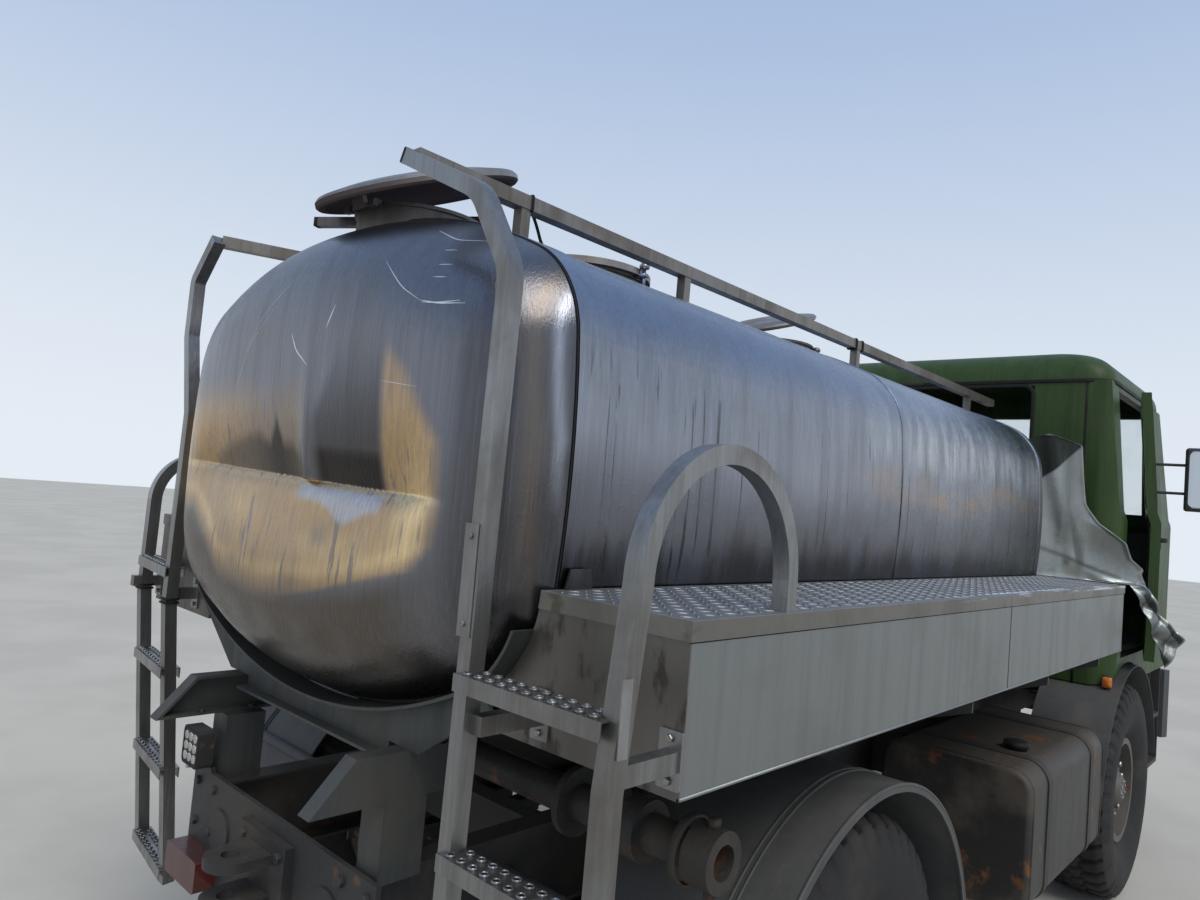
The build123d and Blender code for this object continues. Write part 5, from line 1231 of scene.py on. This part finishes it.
def make_door_fittings():
    """A pull handle and a lock on each door, and mirror glass on the backs of the mirrors."""
    handle_rear, handle_z, lock_x = 1.50, 2.02, 1.475
    mirror_x, mirror_y, mirror_z = 2.2845, 1.354, 2.420
    turn = np.linspace(0, 1, 9)
    outline = pad(0.155, 0.360, 0.03, 6)
    for hand, side in sides.items():
        y = side * cab_half
        bow = np.column_stack([handle_rear + 0.17 * turn, y + side * 0.030 * np.sin(turn * math.pi) ** 0.5,
                               np.full(len(turn), handle_z)])
        handle = carried(bow, pad(0.012, 0.026, 0.005, 3))
        lock = turned([(0.013, -0.002), (0.013, 0.006), (0.009, 0.009)], (lock_x, y, handle_z),
                      (0, side, 0), 16)
        piece(f"door_handle_{hand}", [swung(handle, side), swung(lock, side)], "rubber", f"door_{hand}")
        middle = (side * mirror_y, mirror_z)
        skins = [at_x(outline + middle, mirror_x), at_x(outline * 0.968 + middle, mirror_x - 0.004)]
        glass = panel(np.stack(skins), wrap=(False, True), caps=True)
        piece(f"mirror_glass_{hand}", [swung(glass, side)], "mirror_silver", f"door_{hand}", smooth=False)


def make_cab_lamps():
    """Roof lamps, side markers on their brackets, and a rim and a lens for each headlamp."""
    dome = [(0.034, -0.012), (0.036, 0.012), (0.030, 0.030), (0.014, 0.038)]
    roof = [turned(dome, (2.520, side * 0.86, 3.048), (0, 0, 1), 20) for side in sides.values()]
    piece("roof_lamps", roof, "lens_orange")
    markers, brackets = [], []
    for side in sides.values():
        centre = np.array([1.262, side * 1.105, 1.226])
        lens = [centre - (0.012, 0, 0), centre + (0.016, 0, 0)]
        markers.append(carried(lens, pad(0.045, 0.055, 0.008, 4)))
        arm = [centre + (0.012, 0, 0), centre + (0.060, -side * 0.030, 0)]
        brackets.append(carried(arm, pad(0.030, 0.064, 0.004, 3)))
    piece("side_markers", markers, "lens_orange")
    piece("side_marker_brackets", brackets, "frame_black", smooth=False)
    lamp_low, lamp_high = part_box("headlamps")
    rim_profile = [(0.058, -0.004), (0.058, 0.010), (0.052, 0.010), (0.052, -0.004)]
    lens_profile = [(0.052, 0.0), (0.040, 0.006), (0.012, 0.009)]
    rims, lenses = [], []
    for side in sides.values():
        for out in (0.687, 0.813):
            centre = (lamp_high.x - 0.004, side * out, (lamp_low.z + lamp_high.z) / 2)
            rims.append(turned(rim_profile, centre, (1, 0, 0), 32, closed=True))
            lenses.append(turned(lens_profile, centre, (1, 0, 0), 32))
    piece("headlamp_rims", rims, "rubber")
    piece("headlamp_lenses", lenses, "reflector_white")


def make_wipers():
    """Two wiper arms with blades that follow the screen's slope."""
    screen_slope = (1, 0, 0.4)
    parts = []
    for y in (-0.62, 0.18):
        foot, tip = np.array([2.945, y, 2.135]), np.array([2.842, y + 0.50, 2.470])
        arm = [foot, (foot + tip) / 2 + (0.012, 0, 0), tip]
        parts.append(carried(arm, pad(0.014, 0.008, 0.003, 3), up=screen_slope))
        blade = [(2.880, y + 0.24, 2.385), (2.826, y + 0.62, 2.560)]
        parts.append(carried(blade, pad(0.010, 0.016, 0.003, 3), up=screen_slope))
        parts.append(turned([(0.022, -0.03), (0.020, 0.012), (0.010, 0.018)], foot, (1, 0, 0.35), 14))
    piece("wipers", parts, "rubber")


def make_grille_mesh():
    """Slats behind the grille's slots."""
    slat_x, slat_half = 2.905, 0.47
    slats = [carried([(slat_x, -slat_half, z), (slat_x, slat_half, z)], pad(0.010, 0.030, 0.004, 3))
             for z in np.arange(1.345, 1.75, 0.045)]
    piece("grille_slats", slats, "frame_black")


def make_cab_roof():
    """Roof cap: the cab's plan at the seam, a rectangle with round corners, drawn in and up by
    height = rise * sqrt(1 - size^8), with an inner skin below it and a closed rim at the seam."""
    front_x, wall = 2.716, 0.046
    plan = pad(front_x - cab_rear, 2 * roof_half, cab_corner, 12)
    inner_plan = pad(front_x - cab_rear - 2 * wall, 2 * (roof_half - wall), 0.09, 12)
    size = 1 - 0.998 * np.linspace(0, 1, 70) ** 2
    rows = []
    for outline, rise, shares in ((plan, 0.2045, size[::-1]), (inner_plan, 0.165, size)):
        height = roof_seam_z + rise * np.sqrt(1 - shares**8)
        spread = shares[:, None, None] * outline[None] + ((front_x + cab_rear) / 2, 0)
        level = np.broadcast_to(height[:, None, None], (*spread.shape[:2], 1))
        rows.append(np.concatenate([spread, level], -1))
    piece("cab_roof_cap", [panel(np.concatenate(rows), wrap=(False, True), caps=True)], "cab_green",
          replaces=["cab_roof"])


# Torn sheet: its outline up its left edge and up its right edge, as (height over the deck, along the sheet),
# and how far it bends out of its plane, as (along, out)
sheet_left = [(-0.428, 0.766), (-0.217, 0.680), (-0.010, 0.583), (-0.004, 0.0), (0.723, 0.0), (0.757, 0.094)]
sheet_right = [(-0.428, 0.766), (-0.270, 0.854), (-0.146, 0.732), (0.047, 0.647), (0.075, 0.656),
               (0.123, 0.593), (0.206, 0.558), (0.301, 0.425), (0.403, 0.353), (0.569, 0.323),
               (0.715, 0.311), (0.757, 0.094)]
sheet_bends = [(-0.02, 0.0), (0.20, 0.025), (0.37, -0.025), (0.60, 0.010), (0.90, 0.0)]
sheet_thickness = 0.003


def make_torn_sheet():
    """Creased sheet between its two edges, bent out of its plane by folds: a flap turned over at the top, a
    long crease down the middle, one across the foot, and a crumpled tail."""
    heights = np.unique(np.concatenate([np.linspace(-0.427, 0.7565, 120), [-0.0101, -0.004]]))
    left, right = through(sheet_left, heights)[:, None], through(sheet_right, heights)[:, None]
    along = left + (right - left) * np.linspace(0, 1, 60)[None]
    up = np.broadcast_to(heights[:, None], along.shape)
    past_flap = up - (0.43 + 0.90 * along)
    to_edge = right - along
    above_foot, in_tail = up > -0.02, 1 - smooth_step(up, -0.10, 0.02)

    out = through(sheet_bends, along) + 0.16 * np.clip(past_flap, 0, None)
    out = out + 0.030 * bell(along, 0.30 - 0.25 * up, 0.05) * (up > 0) * smooth_step(up, 0.0, 0.1)
    pleats = np.abs(np.sin(12 * (up + 0.45 * along) + 0.6)) * smooth_step(along, 0.25, 0.45)
    out = out - 0.022 * pleats * above_foot
    crumple = np.abs(np.sin(23 * up + 9 * along)) * 0.030 + np.abs(np.sin(31 * along - 14 * up)) * 0.020
    out = out + crumple * in_tail
    out = out + 0.010 * (1 - smooth_step(to_edge, 0.004, 0.02)) * (up > 0)

    # Painted shade: darker on the turned-over flap, in a band down the middle, further along above the foot,
    # on a crease line and on the crumpled tail, and kept lighter by the right edge
    flap = smooth_step(past_flap, -0.002, 0.010)
    fold_shade = flap + 0.50 * bell(along, 0.235, 0.05) * smooth_step(up, 0.12, 0.28) * (1 - flap)
    fold_shade = fold_shade + 0.28 * smooth_step(along, 0.20, 0.45) * smooth_step(up, 0.0, 0.06)
    fold_shade = fold_shade + 0.6 * bell(up, 0.18 - 0.3 * along, 0.012)
    fold_shade = fold_shade + (1 - smooth_step(up, -0.06, 0.0)) * (0.35 + 0.6 * (np.sin(17 * up + 21 * along) > -0.3))
    fold_shade = fold_shade * (1 - 0.9 * (1 - smooth_step(to_edge, 0.004, 0.016)))

    direction, normal = np.array([0.6115, -0.7912, 0.0]), np.array([-0.7912, -0.6115, 0.0])
    foot = np.array([shell_front + 0.067, 0.127 - half_width, deck_high.z])
    middle = foot + along[..., None] * direction + up[..., None] * (0, 0, 1) + out[..., None] * normal
    half_wall = sheet_thickness / 2 * normal
    skins = np.concatenate([middle + half_wall, (middle - half_wall)[:, ::-1]], 1)
    made = piece("torn_sheet_creased", [panel(skins, wrap=(False, True), caps=True)], "torn_steel",
                 replaces=["torn_sheet"])
    end_shade = [0.9, 0.4]
    masks = np.concatenate([np.concatenate([fold_shade, fold_shade[:, ::-1]], 1).ravel(), end_shade])
    add_masks(made, {"fold_shade": np.clip(masks, 0, 1)})


# Rear end and running gear
def make_work_lamp():
    """Work lamp face: a bezel with nine cupped lenses, and two studs on the plate beside it."""
    low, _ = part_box("work_lamp")
    centre_y, centre_z, bezel_size, pitch = 0.450, 1.130, 0.100, 0.030
    loop = pad(bezel_size, bezel_size, 0.012, 6) + (centre_y, centre_z)
    bezel = carried(at_x(loop, low.x + 0.001), pad(0.010, 0.006, 0.002, 3), up=(1, 0, 0), closed=True)
    piece("work_lamp_bezel", [bezel], "rubber")
    cup = [(0.0135, 0.001), (0.0125, 0.004), (0.006, 0.0015), (0.002, 0.0035)]
    steps = (-pitch, 0, pitch)
    cups = [turned(cup, (low.x + 0.0015, centre_y + y, centre_z + z), (-1, 0, 0), 20)
            for y in steps for z in steps]
    piece("work_lamp_cups", cups, "reflector_white")
    stud = [(0.009, -0.012), (0.009, 0.004), (0.005, 0.008)]
    studs = [turned(stud, (-2.896, y, z), (-1, 0, 0), 14) for y, z in ((0.560, 1.090), (0.555, 1.040))]
    piece("rear_plate_studs", studs, "reflector_white")


def make_frame_bolts():
    """Bolt heads on the rear plate, the jaw's foot and the tank brackets, and U-bolts over the springs."""
    plate_x, jaw_x, bracket_top = -2.894, -2.918, 1.2385
    hands = sides.values()
    places = [(plate_x, side * y, z) for side in hands for y in (0.36, 0.47) for z in (0.80, 0.90, 1.02)]
    places += [(jaw_x, side * 0.10, z) for side in hands for z in (0.85, 0.99)]
    piece("rear_frame_bolts", [bolts((0.014, 0.011), places, (-1, 0, 0))], "frame_black", smooth=False)
    places = [(x, side * 0.425, bracket_top) for x in (-2.93, -2.78) for side in hands]
    piece("bracket_bolts", [bolts((0.010, 0.008), places, (0, 0, 1))], "frame_black", smooth=False)
    spring_y, leg_gap, leg_foot, leg_top, arch = 0.384, 0.039, 0.60, 0.738, 0.014
    bend = round_points(np.radians(np.linspace(0, 180, 13))) * (leg_gap, arch) + (0, leg_top)
    outline = np.concatenate([[(leg_gap, leg_foot)], bend, [(-leg_gap, leg_foot)]])
    loops = [carried(at_x(outline + (side * spring_y, 0), wheel_centres[place, "right"].x + shift),
                     disc(0.009, 8), up=(1, 0, 0))
             for place in ("rear", "front") for side in hands for shift in (-0.055, 0.055)]
    piece("spring_u_bolts", loops, "frame_black")


def make_fuel_tank_details():
    """Filler cap and neck on the fuel tank, and welded end rims."""
    low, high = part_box("fuel_tank")
    middle = np.array([(low.y + high.y) / 2, (low.z + high.z) / 2])
    cap_profile = [(0.045, -0.004), (0.045, 0.012), (0.052, 0.014), (0.052, 0.034), (0.040, 0.040)]
    cap = turned(cap_profile, (low.x + 0.36, middle[0] - 0.14, high.z - 0.002), (0, 0, 1), 28)
    piece("fuel_filler_cap", [cap], "rubber")
    loop = pad(high.y - low.y, high.z - low.z, 0.090, 10) + middle
    rims = [carried(at_x(loop, x), disc(0.005, 6), up=(1, 0, 0), closed=True)
            for x in (low.x + 0.026, high.x - 0.026)]
    piece("fuel_tank_rims", rims, "tank_black")


def make_coupling():
    """Hose coupling on the discharge pipe: two cam lugs, a clamp ring and a valve lever."""
    x, z = shell_rear + 0.271, 1.236
    ring_y, lug_y, lever_y = -1.075, -1.120, -0.895
    ring = [(0.070, 0), (0.076, 0.004), (0.076, 0.020), (0.070, 0.024)]
    parts = [turned(ring, (x, ring_y, z), (0, 1, 0), 28, closed=True)]
    for way in (-1, 1):
        lug = [(x, lug_y, z + way * 0.060), (x, lug_y, z + way * 0.084)]
        parts.append(carried(lug, pad(0.026, 0.020, 0.005, 3), up=(0, 1, 0)))
    lever = [(x - 0.02, lever_y, z + 0.06), (x - 0.04, lever_y, z + 0.12),
             (x - 0.14, lever_y - 0.005, z + 0.145)]
    parts.append(carried(lever, pad(0.020, 0.010, 0.003, 3), up=(0, 1, 0)))
    piece("coupling_fittings", parts, "cast")


# Seats
def cushion(centre, size, crown, power=5.0, rows=40, columns=64):
    """Part: a crowned closed pad. It is a rounded box, |x|^p + |y|^p = 1 in plan, whose top swells towards
    the middle, whose sides pull in between the corners, and which two seams cross."""
    up = np.linspace(-math.pi / 2, math.pi / 2, rows)[:, None]
    around = even_turn(columns)[None]
    rim = signed_power(np.cos(up), 2 / power)
    plan = (np.abs(np.cos(around)) ** power + np.abs(np.sin(around)) ** power) ** (-1 / power)
    pull = 1 - 0.03 * np.cos(2 * around) ** 2
    x = rim * plan * np.cos(around) * pull
    y = rim * plan * np.sin(around) * pull
    swell = 1 + crown * (1 - np.clip(x**2 + y**2, 0, 1))
    seams = 1 - 0.05 * (np.abs(np.abs(y) - 0.55) < 0.04)
    z = signed_power(np.sin(up), 2 / power) * swell * seams / (1 + crown)
    points = np.stack([x * size[0] / 2, y * size[1] / 2, z * size[2] / 2], -1)
    return panel((points + centre)[1:-1], wrap=(False, True), caps=True)


def make_seats():
    """Two seats: a crowned cushion and back each, in cloth, on a plastic pedestal."""
    low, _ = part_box("seats")
    seat_y, seat_x, back_x = 0.72, low.x + 0.29, low.x + 0.058
    upright = Matrix.Rotation(math.radians(-90), 4, "Y")
    for hand, side in sides.items():
        y = side * seat_y
        base = cushion((seat_x + 0.002, y, low.z + 0.205), (0.450, 0.450, 0.125), 0.22)
        back = cushion((0, 0, 0), (0.660, 0.430, 0.115), 0.25)
        back = moved(back, Matrix.Translation((back_x, y, low.z + 0.535)) @ upright)
        made = piece(f"seat_padding_{hand}", [base, back], "seat_cloth")
        if hand == "right":
            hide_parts("seats")
        path = [(seat_x, y, low.z + level) for level in (0.002, 0.060, 0.130, 0.150)]
        foot = carried(path, pad(0.30, 0.34, 0.04, 5), up=(1, 0, 0))
        piece(f"seat_pedestal_{hand}", [foot], "interior_plastic")


# Studio
def make_world():
    """Soft even light, and a graded sky that only cameras, mirrors and glass see."""
    world = bpy.data.worlds.new("pale_surround")
    world.use_nodes = True
    tree = world.node_tree
    up = node(tree, "SeparateXYZ", {0: node(tree, "TexCoord").outputs["Generated"]}).outputs[2]
    seen = mixed(tree, ramp(tree, up, -0.02, 0.70), (0.78, 0.84, 0.91), (0.33, 0.46, 0.70))
    background = tree.nodes["Background"]
    background.inputs["Color"].default_value = (0.80, 0.86, 0.95, 1)
    background.inputs["Strength"].default_value = 0.55
    shown = node(tree, "Background", {"Color": seen, "Strength": 1.0})
    rays = node(tree, "LightPath").outputs
    sharp = maths(tree, "MAXIMUM", maths(tree, "MAXIMUM", rays["Is Camera Ray"], rays["Is Glossy Ray"]),
                  rays["Is Transmission Ray"])
    mix = node(tree, "MixShader", {0: sharp, 1: background.outputs[0], 2: shown.outputs[0]})
    tree.links.new(mix.outputs[0], tree.nodes["World Output"].inputs[0])
    scene.world = world


def make_sun():
    """A wide, slightly warm lamp from high on the right."""
    sun = bpy.data.lights.new("soft_sun", "SUN")
    sun.energy = 1.5
    sun.angle = 0.6
    sun.specular_factor = 0.3
    sun.color = (1.0, 0.95, 0.88)
    lamp = bpy.data.objects.new("soft_sun", sun)
    lamp.rotation_euler = (math.radians(38), 0, math.radians(-25))
    scene.collection.objects.link(lamp)


def make_floor(reach=60):
    """Pale, slightly uneven floor."""
    look = bpy.data.materials.new("pale_floor")
    look.use_nodes = True
    tree = look.node_tree
    shader = tree.nodes["Principled BSDF"]
    shader.inputs["Roughness"].default_value = 0.9
    uneven = noise_mask(tree, (0.6, 0.6, 0.6), 0.4, 0.6)
    tree.links.new(mixed(tree, uneven, (0.52, 0.52, 0.50), (0.57, 0.57, 0.55)), shader.inputs["Base Color"])
    mesh = bpy.data.meshes.new("floor")
    corners = [(-reach, -reach, 0), (reach, -reach, 0), (reach, reach, 0), (-reach, reach, 0)]
    mesh.from_pydata(corners, [], [(0, 1, 2, 3)])
    mesh.materials.append(look)
    floor = bpy.data.objects.new("floor", mesh)
    scene.collection.objects.link(floor)


make_rear_head()
make_head_scratches()
make_tank_seams()
make_deck_marks()
make_locker_trim()
make_lug_plate()
make_rung_collars()
make_tube_plugs()
make_stile_details()
make_foot_plates()
make_rail_cable()
make_hatch_clamps()
make_tyres()
make_wheel_nuts()
make_fender_beads()
make_cab_roof()
make_torn_sheet()
make_cab_seals()
make_door_fittings()
make_cab_lamps()
make_wipers()
make_grille_mesh()
make_work_lamp()
make_frame_bolts()
make_fuel_tank_details()
make_coupling()
make_seats()
make_world()
make_sun()
make_floor()
